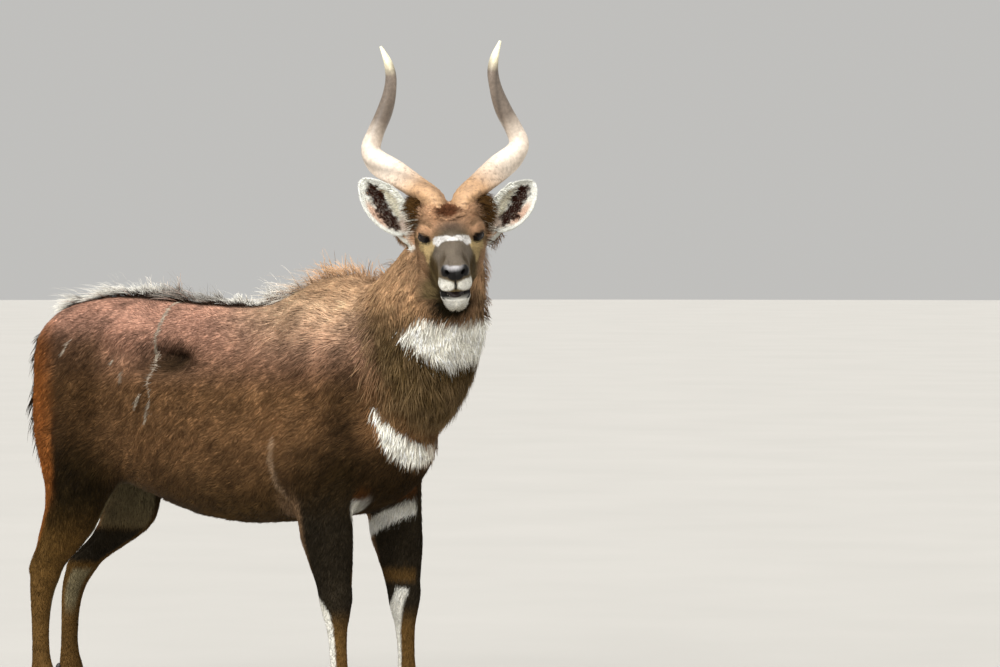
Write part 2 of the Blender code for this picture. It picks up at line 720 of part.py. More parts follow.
def spine_locks(skin, rows, count, chance):
    """A staggered double line of locks along the back or nape, leaning towards the tail."""
    path = smooth_rows(rows, 8)
    locks = []
    for i in range(count):
        at = (i + 0.5) / count * (len(path) - 1)
        before, after = path[int(at)], path[min(int(at) + 1, len(path) - 1)]
        x, y, length, lift = before + (after - before) * (at % 1)
        y += SPINE_STAGGER * (1 if i % 2 else -1) + chance.uniform(-0.002, 0.002)
        root, normal, _, _ = skin.ray_cast(Vector((x, y, 2)), Vector((0, 0, -1)))
        lie = Vector((-1, chance.uniform(-0.3, 0.3), 0))
        lie = (lie - normal * lie.dot(normal)).normalized()
        lean = math.radians(lift + chance.uniform(-6, 6))
        across = (normal * math.cos(lean) - lie * math.sin(lean)).normalized()
        size = length * chance.uniform(0.85, 1.15)
        locks.append(lock(root, normal, lie, size, lean, *SPINE_LOCK, across=across))
    return locks


def ruff_locks(skin, chance):
    """Rows of hanging locks round the throat, breast and sides of the neck."""
    rings = neck_rings()
    locks = []
    for ring, count, fan, length, lift in RUFF:
        centre, side, up, _, _, _ = rings[ring]
        for i in range(count):
            turn = math.radians(fan * (2 * i / count - 1) - 90 + chance.uniform(-4, 4))
            out = side * math.cos(turn) + up * math.sin(turn)
            start = centre + side.cross(up) * chance.uniform(-0.012, 0.012)
            root, normal, _, _ = skin.ray_cast(start + out * 0.5, -out)
            lie = Vector((0, 0, -1)) + side * math.cos(turn) * 0.15
            lean = math.radians(lift + chance.uniform(-5, 5))
            size = length * chance.uniform(0.85, 1.15)
            half_width, half_thick = RUFF_LOCK
            half_width *= chance.uniform(0.85, 1.1)
            locks.append(lock(root, normal, lie, size, lean, half_width, half_thick))
    return locks


def chest_locks(skin, chance):
    """The crescent of locks on the breast between the shoulders."""
    locks = []
    for z, count, spread, length in CHEST:
        for i in range(count):
            y = spread * (2 * (i + 0.5) / count - 1) + chance.uniform(-0.006, 0.006)
            drop = CHEST_SAG * (1 - (y / spread) ** 2)
            root, normal, _, _ = skin.ray_cast(Vector((1.2, y, z - drop)), Vector((-1, 0, 0)))
            lean = math.radians(24 + chance.uniform(-5, 5))
            size = length * chance.uniform(0.85, 1.15)
            locks.append(lock(root, normal, Vector((0, -y * 0.8, -1)), size, lean, *RUFF_LOCK))
    return locks


def tail_locks(chance):
    """The long hair that hangs from the lower half of the tail, on all sides."""
    path = smooth_rows(TAIL, 3)
    lower = path[len(path) // 3 : -2]
    locks = []
    for i in range(TAIL_LOCKS):
        x, z, half = lower[i * len(lower) // TAIL_LOCKS]
        turn = i * GOLDEN_TURN
        out = Vector((math.cos(turn), math.sin(turn), 0))
        root = Vector((x, 0, z)) + out * half * 0.8
        size = TAIL_LOCK_LENGTH * chance.uniform(0.85, 1.1)
        locks.append(lock(root, out, Vector((0, 0, -1)), size, math.radians(11), *TAIL_LOCK))
    return locks


def paint(obj):
    """Gives the object the plain material of its kind."""
    kind = next(key for key in COLOURS if obj.name.startswith(key))
    look = bpy.data.materials.new(obj.name)
    look.use_nodes = True
    shader = look.node_tree.nodes["Principled BSDF"]
    code, roughness = COLOURS[kind]
    channels = [int(code[i : i + 2], 16) / 255 for i in (0, 2, 4)]
    linear = [c / 12.92 if c <= 0.04045 else ((c + 0.055) / 1.055) ** 2.4 for c in channels]
    shader.inputs["Base Color"].default_value = (*linear, 1)
    shader.inputs["Roughness"].default_value = roughness
    shader.inputs["Metallic"].default_value = 0.0
    obj.data.materials.clear()
    obj.data.materials.append(look)


def main():
    for old in list(bpy.data.objects):
        bpy.data.objects.remove(old)
    chance = random.Random(SEED)
    body = flesh()
    skin = BVHTree.FromObject(body, bpy.context.evaluated_depsgraph_get())
    nodes = part_flesh(body)
    head, neck, torso = nodes["head"], nodes["neck"], nodes["torso"]
    dress_head(head)
    boolean(torso, "UNION", spine_locks(skin, CREST, CREST_LOCKS, chance) + chest_locks(skin, chance))
    boolean(neck, "UNION", spine_locks(skin, NAPE, NAPE_LOCKS, chance) + ruff_locks(skin, chance))
    boolean(torso, "DIFFERENCE", [region("neck", GAP)])
    boolean(neck, "DIFFERENCE", [grown(head, GAP)])
    boolean(neck, "DIFFERENCE", [grown(torso, GAP)], crossing=True)
    for side, hand in ((-1, "right"), (1, "left")):
        for grow in (horn, ear):
            made = grow(side, f"{grow.__name__}_{hand}")
            boolean(made, "DIFFERENCE", [grown(head, GAP)])
            nodes[made.name] = boolean(made, "DIFFERENCE", [grown(neck, GAP)], crossing=True)
        eyeball = ellipsoid(eye_centre(side), [EYE_RADIUS] * 3, None, 3)
        nodes[f"eye_{hand}"] = make_object(f"eye_{hand}", eyeball)
    for foot in LEGS:
        boolean(nodes[foot], "DIFFERENCE", [coronet_cut(foot, GAP)])
        for side, place in ((-1, "a"), (1, "b")):
            name = f"hoof_{foot}_{place}"
            nodes[name] = claw(foot, side, name)
    tail = nodes["tail"] = tail_core("tail")
    boolean(tail, "UNION", tail_locks(chance))
    boolean(tail, "DIFFERENCE", [grown(torso, GAP)], crossing=True)
    for node in nodes.values():
        node.data.transform(Matrix.Translation(-ORIGIN))
        paint(node)


if __name__ == "__main__":
    main()
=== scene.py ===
"""Mountain nyala bull, life size and standing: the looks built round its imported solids.

Metres, +X towards the chest, +Y to the animal's left, +Z up. The stations and marks below are given
in the frame of the animal's build, and each finished mesh is moved by SHIFT into the part's frame.
One skin takes the place of the flesh, and hair grows from it along the lie of the coat.
"""

import math

import bmesh
import bpy
import numpy as np
from bpy.props import FloatProperty, FloatVectorProperty, IntProperty, PointerProperty
from mathutils import Matrix, Vector


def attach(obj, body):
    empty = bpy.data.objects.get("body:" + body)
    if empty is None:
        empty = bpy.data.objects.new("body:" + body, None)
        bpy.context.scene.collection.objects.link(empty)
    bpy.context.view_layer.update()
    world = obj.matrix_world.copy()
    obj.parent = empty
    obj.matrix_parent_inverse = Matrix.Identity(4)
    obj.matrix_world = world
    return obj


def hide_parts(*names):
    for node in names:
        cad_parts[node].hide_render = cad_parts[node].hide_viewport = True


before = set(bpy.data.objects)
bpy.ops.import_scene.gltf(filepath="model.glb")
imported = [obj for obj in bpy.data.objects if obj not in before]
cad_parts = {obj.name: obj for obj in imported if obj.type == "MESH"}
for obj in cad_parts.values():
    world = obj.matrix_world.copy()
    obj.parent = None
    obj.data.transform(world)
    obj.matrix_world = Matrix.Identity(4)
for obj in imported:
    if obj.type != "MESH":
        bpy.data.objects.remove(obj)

bl_info = {
    "name": "Mountain nyala bull",
    "version": (1, 0, 0),
    "blender": (4, 5, 0),
    "location": "3D View > Sidebar > Nyala",
    "description": "Skin, coat, horns, eyes and hooves of a life-size mountain nyala bull",
    "category": "Object",
}

SHIFT = Vector((-0.0800, 0.0490, 0.0))
AHEAD, LEFT, UP = Vector((1, 0, 0)), Vector((0, 1, 0)), Vector((0, 0, 1))
SEED = 11
HANDS = {-1: "right", 1: "left"}
SKIN_NODES = ["head", "neck", "torso", "tail", "ear_left", "ear_right",
              "foreleg_left", "foreleg_right", "hindleg_left", "hindleg_right"]

# The head's own frame: x to the nose, y left, z up, from the poll
HEAD_YAW = math.radians(-56)
HEAD_PITCH = math.radians(18)
HEAD_ROLL = math.radians(2.7)
POLL = Vector((0.688, -0.040, 1.405))

# Trunk stations from tail to chest: x, back, belly, half width, height of the widest point
TRUNK = (
    (-0.704, 1.075, 0.930, 0.040, 1.010),
    (-0.680, 1.128, 0.820, 0.130, 0.985),
    (-0.606, 1.170, 0.735, 0.190, 0.960),
    (-0.500, 1.192, 0.690, 0.222, 0.930),
    (-0.400, 1.198, 0.655, 0.232, 0.900),
    (-0.300, 1.192, 0.615, 0.238, 0.860),
    (-0.160, 1.180, 0.570, 0.258, 0.820),
    (-0.020, 1.172, 0.550, 0.268, 0.810),
    (0.100, 1.180, 0.553, 0.262, 0.815),
    (0.200, 1.222, 0.560, 0.245, 0.830),
    (0.300, 1.258, 0.572, 0.228, 0.850),
    (0.400, 1.252, 0.592, 0.208, 0.870),
    (0.490, 1.190, 0.630, 0.172, 0.890),
    (0.560, 1.080, 0.690, 0.120, 0.880),
    (0.600, 0.980, 0.770, 0.050, 0.870),
)

# Neck stations upwards: x, y, z, yaw in degrees, half width, reach to the nape, reach to the throat
NECK = (
    (0.270, 0.000, 0.900, 0, 0.170, 0.260, 0.250),
    (0.390, 0.000, 0.970, -2, 0.180, 0.240, 0.262),
    (0.500, -0.004, 1.055, -10, 0.172, 0.205, 0.240),
    (0.580, -0.010, 1.145, -22, 0.160, 0.175, 0.215),
    (0.635, -0.020, 1.235, -36, 0.142, 0.142, 0.168),
    (0.668, -0.030, 1.320, -48, 0.115, 0.112, 0.108),
    (0.684, -0.038, 1.385, -56, 0.084, 0.080, 0.070),
)

# Head stations in the head's own frame, poll to nose: x, top, bottom, half width, widest point
HEAD = (
    (-0.050, 0.025, -0.070, 0.046, -0.025),
    (-0.020, 0.048, -0.105, 0.076, -0.020),
    (0.030, 0.066, -0.138, 0.092, -0.012),
    (0.080, 0.072, -0.154, 0.094, -0.012),
    (0.130, 0.063, -0.155, 0.085, -0.020),
    (0.180, 0.050, -0.150, 0.066, -0.035),
    (0.230, 0.038, -0.142, 0.054, -0.045),
    (0.280, 0.030, -0.134, 0.047, -0.050),
    (0.325, 0.025, -0.128, 0.046, -0.050),
    (0.360, 0.020, -0.118, 0.045, -0.045),
    (0.386, 0.006, -0.100, 0.038, -0.040),
    (0.400, -0.016, -0.066, 0.020, -0.035),
)

# Leg stations downwards: forward offset, height, half length fore and aft, half width
FORELEG = (
    (0.000, 0.900, 0.100, 0.100, 0.060),
    (-0.010, 0.780, 0.110, 0.120, 0.072),
    (-0.015, 0.680, 0.095, 0.100, 0.066),
    (-0.005, 0.600, 0.080, 0.100, 0.060),
    (0.002, 0.520, 0.072, 0.088, 0.055),
    (0.010, 0.450, 0.062, 0.068, 0.049),
    (0.016, 0.395, 0.053, 0.053, 0.046),
    (0.020, 0.355, 0.050, 0.047, 0.045),
    (0.023, 0.315, 0.042, 0.042, 0.040),
    (0.026, 0.270, 0.031, 0.033, 0.030),
    (0.030, 0.200, 0.026, 0.028, 0.026),
    (0.033, 0.145, 0.028, 0.030, 0.028),
    (0.034, 0.110, 0.033, 0.038, 0.034),
    (0.040, 0.080, 0.030, 0.036, 0.032),
    (0.054, 0.052, 0.033, 0.034, 0.034),
    (0.060, 0.036, 0.034, 0.034, 0.034),
)
HINDLEG = (
    (0.150, 0.980, 0.120, 0.120, 0.050),
    (0.155, 0.860, 0.175, 0.164, 0.090),
    (0.155, 0.770, 0.180, 0.152, 0.098),
    (0.150, 0.690, 0.155, 0.122, 0.088),
    (0.130, 0.610, 0.115, 0.096, 0.070),
    (0.098, 0.530, 0.096, 0.086, 0.056),
    (0.066, 0.470, 0.074, 0.074, 0.044),
    (0.034, 0.420, 0.052, 0.066, 0.040),
    (0.016, 0.380, 0.048, 0.048, 0.040),
    (0.004, 0.330, 0.036, 0.036, 0.036),
    (-0.003, 0.260, 0.029, 0.029, 0.029),
    (-0.004, 0.190, 0.027, 0.028, 0.027),
    (-0.002, 0.145, 0.029, 0.031, 0.029),
    (0.004, 0.110, 0.034, 0.038, 0.035),
    (0.016, 0.080, 0.031, 0.037, 0.033),
    (0.032, 0.052, 0.033, 0.034, 0.034),
    (0.038, 0.036, 0.034, 0.034, 0.034),
)
# Where each leg stands: stations, x at the cannon, y at the top, y at the foot, stifle brought forward
LEGS = {
    "foreleg_right": (FORELEG, 0.345, -0.128, -0.118, 0.0),
    "foreleg_left": (FORELEG, 0.410, 0.128, 0.122, 0.0),
    "hindleg_right": (HINDLEG, -0.650, -0.142, -0.118, 0.0),
    "hindleg_left": (HINDLEG, -0.735, 0.142, 0.124, 0.092),
}
STIFLE_HEIGHT = 0.54
STIFLE_REACH = 0.12

# The tail's core from its root down: x, height, half width
TAIL = (
    (-0.640, 1.105, 0.030),
    (-0.690, 1.085, 0.028),
    (-0.722, 1.030, 0.022),
    (-0.732, 0.950, 0.018),
    (-0.734, 0.880, 0.014),
    (-0.732, 0.800, 0.009),
)

# Hollows of the flesh on both sides: centre, radii and depth
HOLLOWS = (
    ((-0.135, 0.235, 1.018), (0.080, 0.200, 0.042), 0.060),
    ((0.175, 0.230, 0.860), (0.060, 0.200, 0.200), 0.010),
)

# Muscles and creases of the body on both sides: centre, radii, how far the skin is raised
BODY_FORMS = (
    ((0.255, 0.230, 0.730), (0.045, 0.120, 0.100), 0.012),  # rear edge of the upper arm
    ((0.195, 0.230, 0.720), (0.030, 0.120, 0.090), -0.010),  # crease behind it
    ((0.420, 0.180, 0.980), (0.045, 0.120, 0.150), -0.010),  # between neck and shoulder
    ((0.365, 0.210, 0.760), (0.030, 0.120, 0.090), -0.008),  # between shoulder and upper arm
    ((-0.310, 0.180, 1.090), (0.090, 0.080, 0.045), 0.012),  # hip bone
    ((-0.560, 0.140, 1.060), (0.060, 0.070, 0.060), 0.006),  # seat bone
    ((-0.300, 0.240, 0.740), (0.050, 0.120, 0.120), -0.008),  # fold before the thigh
    ((-0.170, 0.240, 0.955), (0.110, 0.120, 0.022), 0.010),  # fold under the hollow of the flank
    ((-0.440, 0.240, 0.800), (0.100, 0.120, 0.180), 0.008),  # thigh
    ((-0.545, 0.220, 0.760), (0.025, 0.090, 0.160), -0.008),  # groove along the back of the thigh
    ((0.020, 0.260, 0.900), (0.120, 0.120, 0.120), 0.006),  # ribs
)

# Small forms of the head on both sides, in its own frame: centre, radii, how far the skin is raised
FACE_FORMS = (
    ((0.118, 0.060, 0.036), (0.030, 0.022, 0.009), 0.0045),  # bony brow over the eye
    ((0.160, 0.052, -0.012), (0.020, 0.016, 0.012), -0.0035),  # tear groove
    ((0.150, 0.066, -0.032), (0.050, 0.020, 0.010), 0.0025),  # cheekbone
    ((0.100, 0.080, -0.095), (0.060, 0.030, 0.035), 0.0035),  # jaw muscle
    ((0.200, 0.050, -0.080), (0.040, 0.020, 0.030), -0.0040),  # hollow of the cheek
    ((0.300, 0.034, 0.004), (0.055, 0.012, 0.012), -0.0030),  # flat side of the nose bone
    ((0.300, 0.000, 0.032), (0.070, 0.016, 0.016), 0.0020),  # bridge
    ((0.168, 0.066, 0.004), (0.020, 0.014, 0.010), -0.0030),  # inner corner of the eye
    ((0.150, 0.080, 0.004), (0.024, 0.024, 0.014), -0.0050),  # hollow that the eye fills
    ((0.148, 0.078, 0.034), (0.026, 0.020, 0.008), 0.0035),  # ridge above the eye
    ((0.388, 0.032, -0.012), (0.013, 0.009, 0.013), 0.0030),  # wing of the nostril
    ((0.400, 0.000, -0.032), (0.020, 0.0035, 0.030), -0.0040),  # groove of the upper lip
    ((0.372, 0.034, -0.054), (0.030, 0.014, 0.010), 0.0035),  # upper lip
    ((0.356, 0.034, -0.100), (0.040, 0.020, 0.014), 0.0050),  # lower lip
    ((0.290, 0.044, -0.086), (0.020, 0.012, 0.012), -0.0030),  # corner of the mouth
)
# Forms of the limbs on both sides, from a leg's own middle line: leg, height, forward, outward,
# radius, radius up and down, how far the skin is raised
LIMB_FORMS = (
    ("fore", 0.500, 0.010, 0.030, 0.050, 0.075, 0.0080),  # muscle of the forearm
    ("fore", 0.375, 0.040, 0.000, 0.024, 0.030, 0.0040),  # front of the knee
    ("fore", 0.345, -0.036, 0.000, 0.016, 0.020, 0.0050),  # bone behind the knee
    ("fore", 0.225, -0.010, 0.026, 0.010, 0.070, -0.0030),  # groove before the tendon
    ("fore", 0.225, -0.010, -0.026, 0.010, 0.070, -0.0030),
    ("hind", 0.470, -0.040, 0.030, 0.016, 0.060, -0.0060),  # hollow before the hock's cord
    ("hind", 0.470, -0.040, -0.030, 0.016, 0.060, -0.0060),
    ("hind", 0.400, -0.056, 0.000, 0.014, 0.022, 0.0060),  # point of the hock
    ("hind", 0.230, -0.008, 0.026, 0.010, 0.080, -0.0030),
    ("hind", 0.230, -0.008, -0.026, 0.010, 0.080, -0.0030),
)

# Rounded masses of the head on both sides, in its own frame: centre and radii
HEAD_MASSES = (
    ((0.122, 0.064, 0.010), (0.046, 0.028, 0.034)),  # eye socket
    ((0.036, 0.070, 0.036), (0.046, 0.036, 0.044)),  # temple
    ((0.075, 0.050, -0.090), (0.075, 0.028, 0.055)),  # jaw
    ((0.378, 0.020, -0.010), (0.024, 0.020, 0.022)),  # nostril
    ((0.352, 0.024, -0.052), (0.038, 0.023, 0.022)),  # upper lip
    ((0.060, 0.042, 0.056), (0.045, 0.036, 0.026)),  # foot of the horn
)
CHIN = (0.350, 0, -0.108), (0.038, 0.032, 0.026)
# Masses of the body on both sides: centre, radii, lean forward in degrees
BODY_MASSES = (
    ((0.335, 0.150, 0.975), (0.115, 0.075, 0.235), -20),  # shoulder blade
    ((0.300, 0.165, 0.770), (0.125, 0.070, 0.140), 0),  # upper arm
    ((0.455, 0.115, 0.850), (0.085, 0.075, 0.120), 0),  # point of the shoulder
    ((-0.490, 0.140, 0.900), (0.170, 0.095, 0.230), 15),  # haunch
    ((-0.340, 0.140, 1.080), (0.110, 0.075, 0.075), 0),  # hip
)

EYE_AT = (0.128, 0.0690, 0.006)
EYE_RADIUS = 0.020
EYE_TURN = math.radians(43)
EYE_ROLL = math.radians(12)
LID_AT = (0.1426, 0.0826, 0.006)
LID_OPENING = (0.015, 0.0176, 0.0116)
NOSTRIL_AT = (0.396, 0.021, -0.010)
NOSTRIL_RADII = (0.014, 0.0050, 0.0085)
MOUTH = ((0.280, -0.0765), (0.335, -0.0680), (0.430, -0.0635), (0.430, -0.0965), (0.335, -0.0900))
TONGUE_AT = (0.306, 0.0, -0.090)
TONGUE_RADII = (0.062, 0.026, 0.022)
LOWER_TEETH = 8

# Horns from the middle of the eyes: out to the side, up, forward, and the horn's diameter
HORN = (
    (0.036, 0.052, -0.036, 0.068),
    (0.042, 0.093, -0.058, 0.073),
    (0.088, 0.136, -0.110, 0.072),
    (0.140, 0.180, -0.158, 0.071),
    (0.190, 0.215, -0.192, 0.067),
    (0.205, 0.245, -0.204, 0.060),
    (0.192, 0.286, -0.204, 0.053),
    (0.168, 0.340, -0.194, 0.046),
    (0.149, 0.394, -0.180, 0.038),
    (0.141, 0.440, -0.170, 0.034),
    (0.147, 0.481, -0.166, 0.026),
    (0.165, 0.527, -0.170, 0.008),
)
HORN_TWIST = math.radians(430)
HORN_KEEL = 0.22  # how far the ridge stands out, in shares of the horn's half width

WHORL_AT = (0.108, -0.008, 0.068)

# Stalk of the ear from the middle of the eyes: out to the side, up, forward, radius
EAR_STALK = ((0.046, -0.022, -0.100, 0.024), (0.080, -0.012, -0.108, 0.028), (0.112, 0.004, -0.117, 0.027),
             (0.140, 0.032, -0.124, 0.020), (0.156, 0.056, -0.122, 0.008))
EAR_ROOT = (0.116, 0.014, -0.105)
EAR_TIPS = {-1: (0.236, 0.160, -0.125), 1: (0.236, 0.132, -0.125)}
EAR_WIDTH = 0.104
EAR_PROFILE_AT = (0.0, 0.08, 0.2, 0.35, 0.5, 0.65, 0.8, 0.92, 1.0)
EAR_PROFILE = (0.42, 0.66, 0.86, 0.98, 1.0, 0.92, 0.72, 0.44, 0.14)
EAR_CUP = 0.034
EAR_BEND = 0.012
EAR_THICKNESS = 0.0036

# A claw's sections from the ground up: share of the coronet's height, forward, back, inner, outer
CLAW_HALF_GAP = 0.0008
CLAW = (
    (0.0, 0.056, 0.036, 0.0030, 0.0370),
    (0.12, 0.055, 0.036, 0.0024, 0.0372),
    (0.55, 0.046, 0.035, 0.0012, 0.0355),
    (1.0, 0.034, 0.033, 0.0004, 0.0325),
)
CORONET_HEIGHT = 0.048
CORONET_SLOPE = 0.30
CORONET_SINK = 0.006  # how far the horn of the hoof goes up under the hair


def linear(code):
    """Scene-linear red, green and blue of an sRGB hex value."""
    channels = [int(code[i : i + 2], 16) / 255 for i in (0, 2, 4)]
    return tuple(c / 12.92 if c <= 0.04045 else ((c + 0.055) / 1.055) ** 2.4 for c in channels)


def smooth_rows(rows, per_span):
    """Catmull-Rom samples through rows of numbers, per_span to each span."""
    table = np.array(rows, float)
    padded = np.vstack([2 * table[0] - table[1], table, 2 * table[-1] - table[-2]])
    samples = []
    for i in range(len(table) - 1):
        a, b, c, d = padded[i : i + 4]
        for step in range(per_span):
            t = step / per_span
            samples.append(
                0.5 * (2 * b + (c - a) * t + (2 * a - 5 * b + 4 * c - d) * t**2
                       + (3 * b - a - 3 * c + d) * t**3)
            )
    samples.append(table[-1])
    return samples


def list_by(parts, key):
    """Lists a bmesh's points, edges or faces in the order of key."""
    for i, part in enumerate(sorted(parts, key=key)):
        part.index = i
    parts.sort()


def in_order(bm):
    """The bmesh with its edges and faces listed by their points, as extruding lists them anew each run."""
    bm.verts.index_update()
    for parts in (bm.edges, bm.faces):
        list_by(parts, lambda part: sorted(v.index for v in part.verts))
    return bm


def tube(rings, sides=24, power=2.0):
    """A closed bmesh grown by extruding one circle through the rings.

    A ring is (centre, side, up, half_side, half_up, half_down); power squares the section.
    """
    bm = bmesh.new()
    turn = bm.verts.layers.float.new("turn")

    def place(verts, ring):
        centre, side, up, half_side, half_up, half_down = ring
        for v in verts:
            c, s = math.cos(v[turn]), math.sin(v[turn])
            across = math.copysign(abs(c) ** (2 / power), c) * half_side
            along = math.copysign(abs(s) ** (2 / power), s) * (half_up if s > 0 else half_down)
            v.co = centre + side * across + up * along

    verts = bmesh.ops.create_circle(bm, cap_ends=True, segments=sides, radius=1)["verts"]
    for v in verts:
        v[turn] = math.atan2(v.co.y, v.co.x)
    edges = list(bm.edges)
    place(verts, rings[0])
    for ring in rings[1:]:
        grown = bmesh.ops.extrude_edge_only(bm, edges=edges)["geom"]
        verts = [g for g in grown if isinstance(g, bmesh.types.BMVert)]
        fresh = set(verts)
        edges = [g for g in grown if isinstance(g, bmesh.types.BMEdge) and fresh.issuperset(g.verts)]
        place(verts, ring)
    bmesh.ops.contextual_create(bm, geom=edges)
    bmesh.ops.recalc_face_normals(bm, faces=bm.faces)
    return in_order(bm)


def ellipsoid(centre, radii, rotation=None, detail=3):
    """A closed bmesh ball scaled to radii, turned by rotation and moved to centre."""
    bm = bmesh.new()
    bmesh.ops.create_icosphere(bm, subdivisions=detail, radius=1)
    turn = rotation.to_4x4() if rotation else Matrix.Identity(4)
    bm.transform(Matrix.Translation(centre) @ turn @ Matrix.Diagonal((*radii, 1)))
    return bm


def make_object(name, bm):
    """A mesh object of that bmesh, linked to the scene and smooth shaded."""
    mesh = bpy.data.meshes.new(name)
    bm.to_mesh(mesh)
    bm.free()
    return link(name, mesh)


def link(name, mesh):
    """An object of that name with the mesh, linked to the scene and smooth shaded."""
    mesh.shade_smooth()
    made = bpy.data.objects.new(name, mesh)
    bpy.context.scene.collection.objects.link(made)
    return made


def joined(pieces):
    """One bmesh that holds all the pieces."""
    whole = bmesh.new()
    for piece in pieces:
        held = bpy.data.meshes.new("held")
        piece.to_mesh(held)
        piece.free()
        whole.from_mesh(held)
        bpy.data.meshes.remove(held)
    return whole


def bake(obj):
    """Applies the object's modifiers to its mesh."""
    graph = bpy.context.evaluated_depsgraph_get()
    mesh = bpy.data.meshes.new_from_object(obj.evaluated_get(graph))
    obj.modifiers.clear()
    obj.data = mesh
    return obj


def prism(corners, near, far, place):
    """A closed prism over corners in the XZ plane, from y near to y far, moved by place."""
    bm = bmesh.new()
    face = bm.faces.new([bm.verts.new((x, near, z)) for x, z in corners])
    grown = bmesh.ops.extrude_face_region(bm, geom=[face])["geom"]
    moved = [g for g in grown if isinstance(g, bmesh.types.BMVert)]
    bmesh.ops.translate(bm, verts=moved, vec=(0, far - near, 0))
    bmesh.ops.recalc_face_normals(bm, faces=bm.faces)
    bm.transform(place)
    return in_order(bm)


def boolean(obj, operation, cutter):
    """Cuts obj by, or joins it with, the closed bmesh, which is used up."""
    helper = make_object("helper", cutter)
    change = obj.modifiers.new("change", "BOOLEAN")
    change.operation = operation
    change.object = helper
    bake(obj)
    bpy.data.objects.remove(helper)


def finish_piece(obj, slot, *nodes):
    """Moves a finished mesh into the part's frame, ties it to the body and hides the nodes it stands for."""
    obj.data.transform(Matrix.Translation(SHIFT))
    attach(obj, "root")
    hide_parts(*nodes)
    return obj


def head_turn():
    """The head's turn and lean, before its nose is lowered."""
    return Matrix.Rotation(HEAD_YAW, 3, "Z") @ Matrix.Rotation(HEAD_ROLL, 3, "X")


def head_frame():
    """The matrix from the head's own frame to the build's."""
    pitch = Matrix.Rotation(HEAD_PITCH, 4, "Y")
    return Matrix.Translation(POLL) @ head_turn().to_4x4() @ pitch


def face_to_world(lateral, height, forward, side):
    """A point given from the middle of the eyes in the head's level frame."""
    middle = head_frame() @ on_side(EYE_AT, 0)
    return middle + head_turn() @ Vector((forward, side * lateral, height))


def on_side(place, side):
    """A place given for the left side, on that side."""
    x, y, z = place
    return Vector((x, side * y, z))


def eye_centre(side):
    return head_frame() @ on_side(EYE_AT, side)


def eye_out(side):
    """The turn whose x axis points out of the eye, rolled so that the opening lies nearly level."""
    turned = head_frame().to_3x3() @ Matrix.Rotation(side * EYE_TURN, 3, "Z")
    return turned @ Matrix.Rotation(-side * EYE_ROLL, 3, "X")


# Flesh

def upright_tube(table, sides, power):
    """A tube along x through stations of x, top, bottom, half width and widest point."""
    rings = [(Vector((x, 0, wide)), LEFT, UP, half, top - wide, wide - low)
             for x, top, low, half, wide in smooth_rows(table, 6)]
    return tube(rings, sides, power)


def neck_tube():
    """The neck, turning with the head as it rises."""
    rows = smooth_rows(NECK, 6)
    rings = []
    for i, (x, y, z, yaw, half, nape, throat) in enumerate(rows):
        before, after = rows[max(i - 1, 0)], rows[min(i + 1, len(rows) - 1)]
        along = (Vector(after[:3]) - Vector(before[:3])).normalized()
        side = Matrix.Rotation(math.radians(yaw), 3, "Z") @ LEFT
        side = (side - along * side.dot(along)).normalized()
        rings.append((Vector((x, y, z)), side, along.cross(side).normalized(), half, nape, throat))
    return tube(rings, 56, 2.1)


def leg_line(leg, z):
    """The middle of a leg at a height: x and y."""
    table, x0, y_top, y_foot, bend = LEGS[leg]
    rows = np.array(table)[::-1]
    forward = np.interp(z, rows[:, 1], rows[:, 0] + (rows[:, 2] - rows[:, 3]) / 2)
    x = x0 + forward + bend * np.exp(-(((z - STIFLE_HEIGHT) / STIFLE_REACH) ** 2))
    y = y_foot + (y_top - y_foot) * np.minimum(1.0, z / (0.75 * table[0][1]))
    return x, y


def leg_tube(table, x0, y_top, y_foot, bend):
    """A leg from shoulder or hip to the top of the hoof."""
    rings = []
    highest = table[0][1]
    for forward, z, fore, aft, half in smooth_rows(table, 5):
        y = y_foot + (y_top - y_foot) * min(1.0, z / (0.75 * highest))
        forward += bend * math.exp(-(((z - STIFLE_HEIGHT) / STIFLE_REACH) ** 2))
        rings.append((Vector((x0 + forward, y, z)), LEFT, AHEAD, half, fore, aft))
    return tube(rings, 40, 2.0)


def tail_tube():
    rows = smooth_rows(TAIL, 6)
    return tube([(Vector((x, 0, z)), LEFT, -AHEAD, half, half, half) for x, z, half in rows], 20)


def head_pieces(place):
    """The skull with its rounded masses, moved from the head's own frame into place."""
    pieces = [upright_tube(HEAD, 56, 2.2)]
    pieces += [ellipsoid(on_side(centre, side), radii) for side in (-1, 1) for centre, radii in HEAD_MASSES]
    pieces.append(ellipsoid(Vector(CHIN[0]), CHIN[1]))
    for piece in pieces:
        piece.transform(place)
    return pieces


def muscle_pieces():
    """Shoulder, upper arm, haunch and hip masses on both sides."""
    return [ellipsoid(on_side(centre, side), radii, Matrix.Rotation(math.radians(lean), 3, "Y"))
            for side in (-1, 1) for centre, radii, lean in BODY_MASSES]


# Arrays of points on the skin, in the build's frame

def read_array(items, key, width):
    flat = np.empty(len(items) * width, np.float32)
    items.foreach_get(key, flat)
    return flat.reshape(-1, width).astype(float)


def to_head(points):
    """The points in the head's own frame."""
    back = np.array(head_frame().inverted())
    return points @ back[:3, :3].T + back[:3, 3]


def rise(low, high, value):
    """0 up to low, 1 from high, smooth between."""
    t = np.clip((value - low) / (high - low), 0, 1)
    return t * t * (3 - 2 * t)


def fall(low, high, value):
    """1 up to low, 0 from high, smooth between."""
    return 1 - rise(low, high, value)


def patch(points, centre, radii, edge=0.25):
    """1 within an ellipsoid and 0 outside it, fading over the edge."""
    away = np.sqrt((((points - np.array(centre)) / np.array(radii)) ** 2).sum(axis=1))
    return fall(1 - edge, 1 + edge, away)


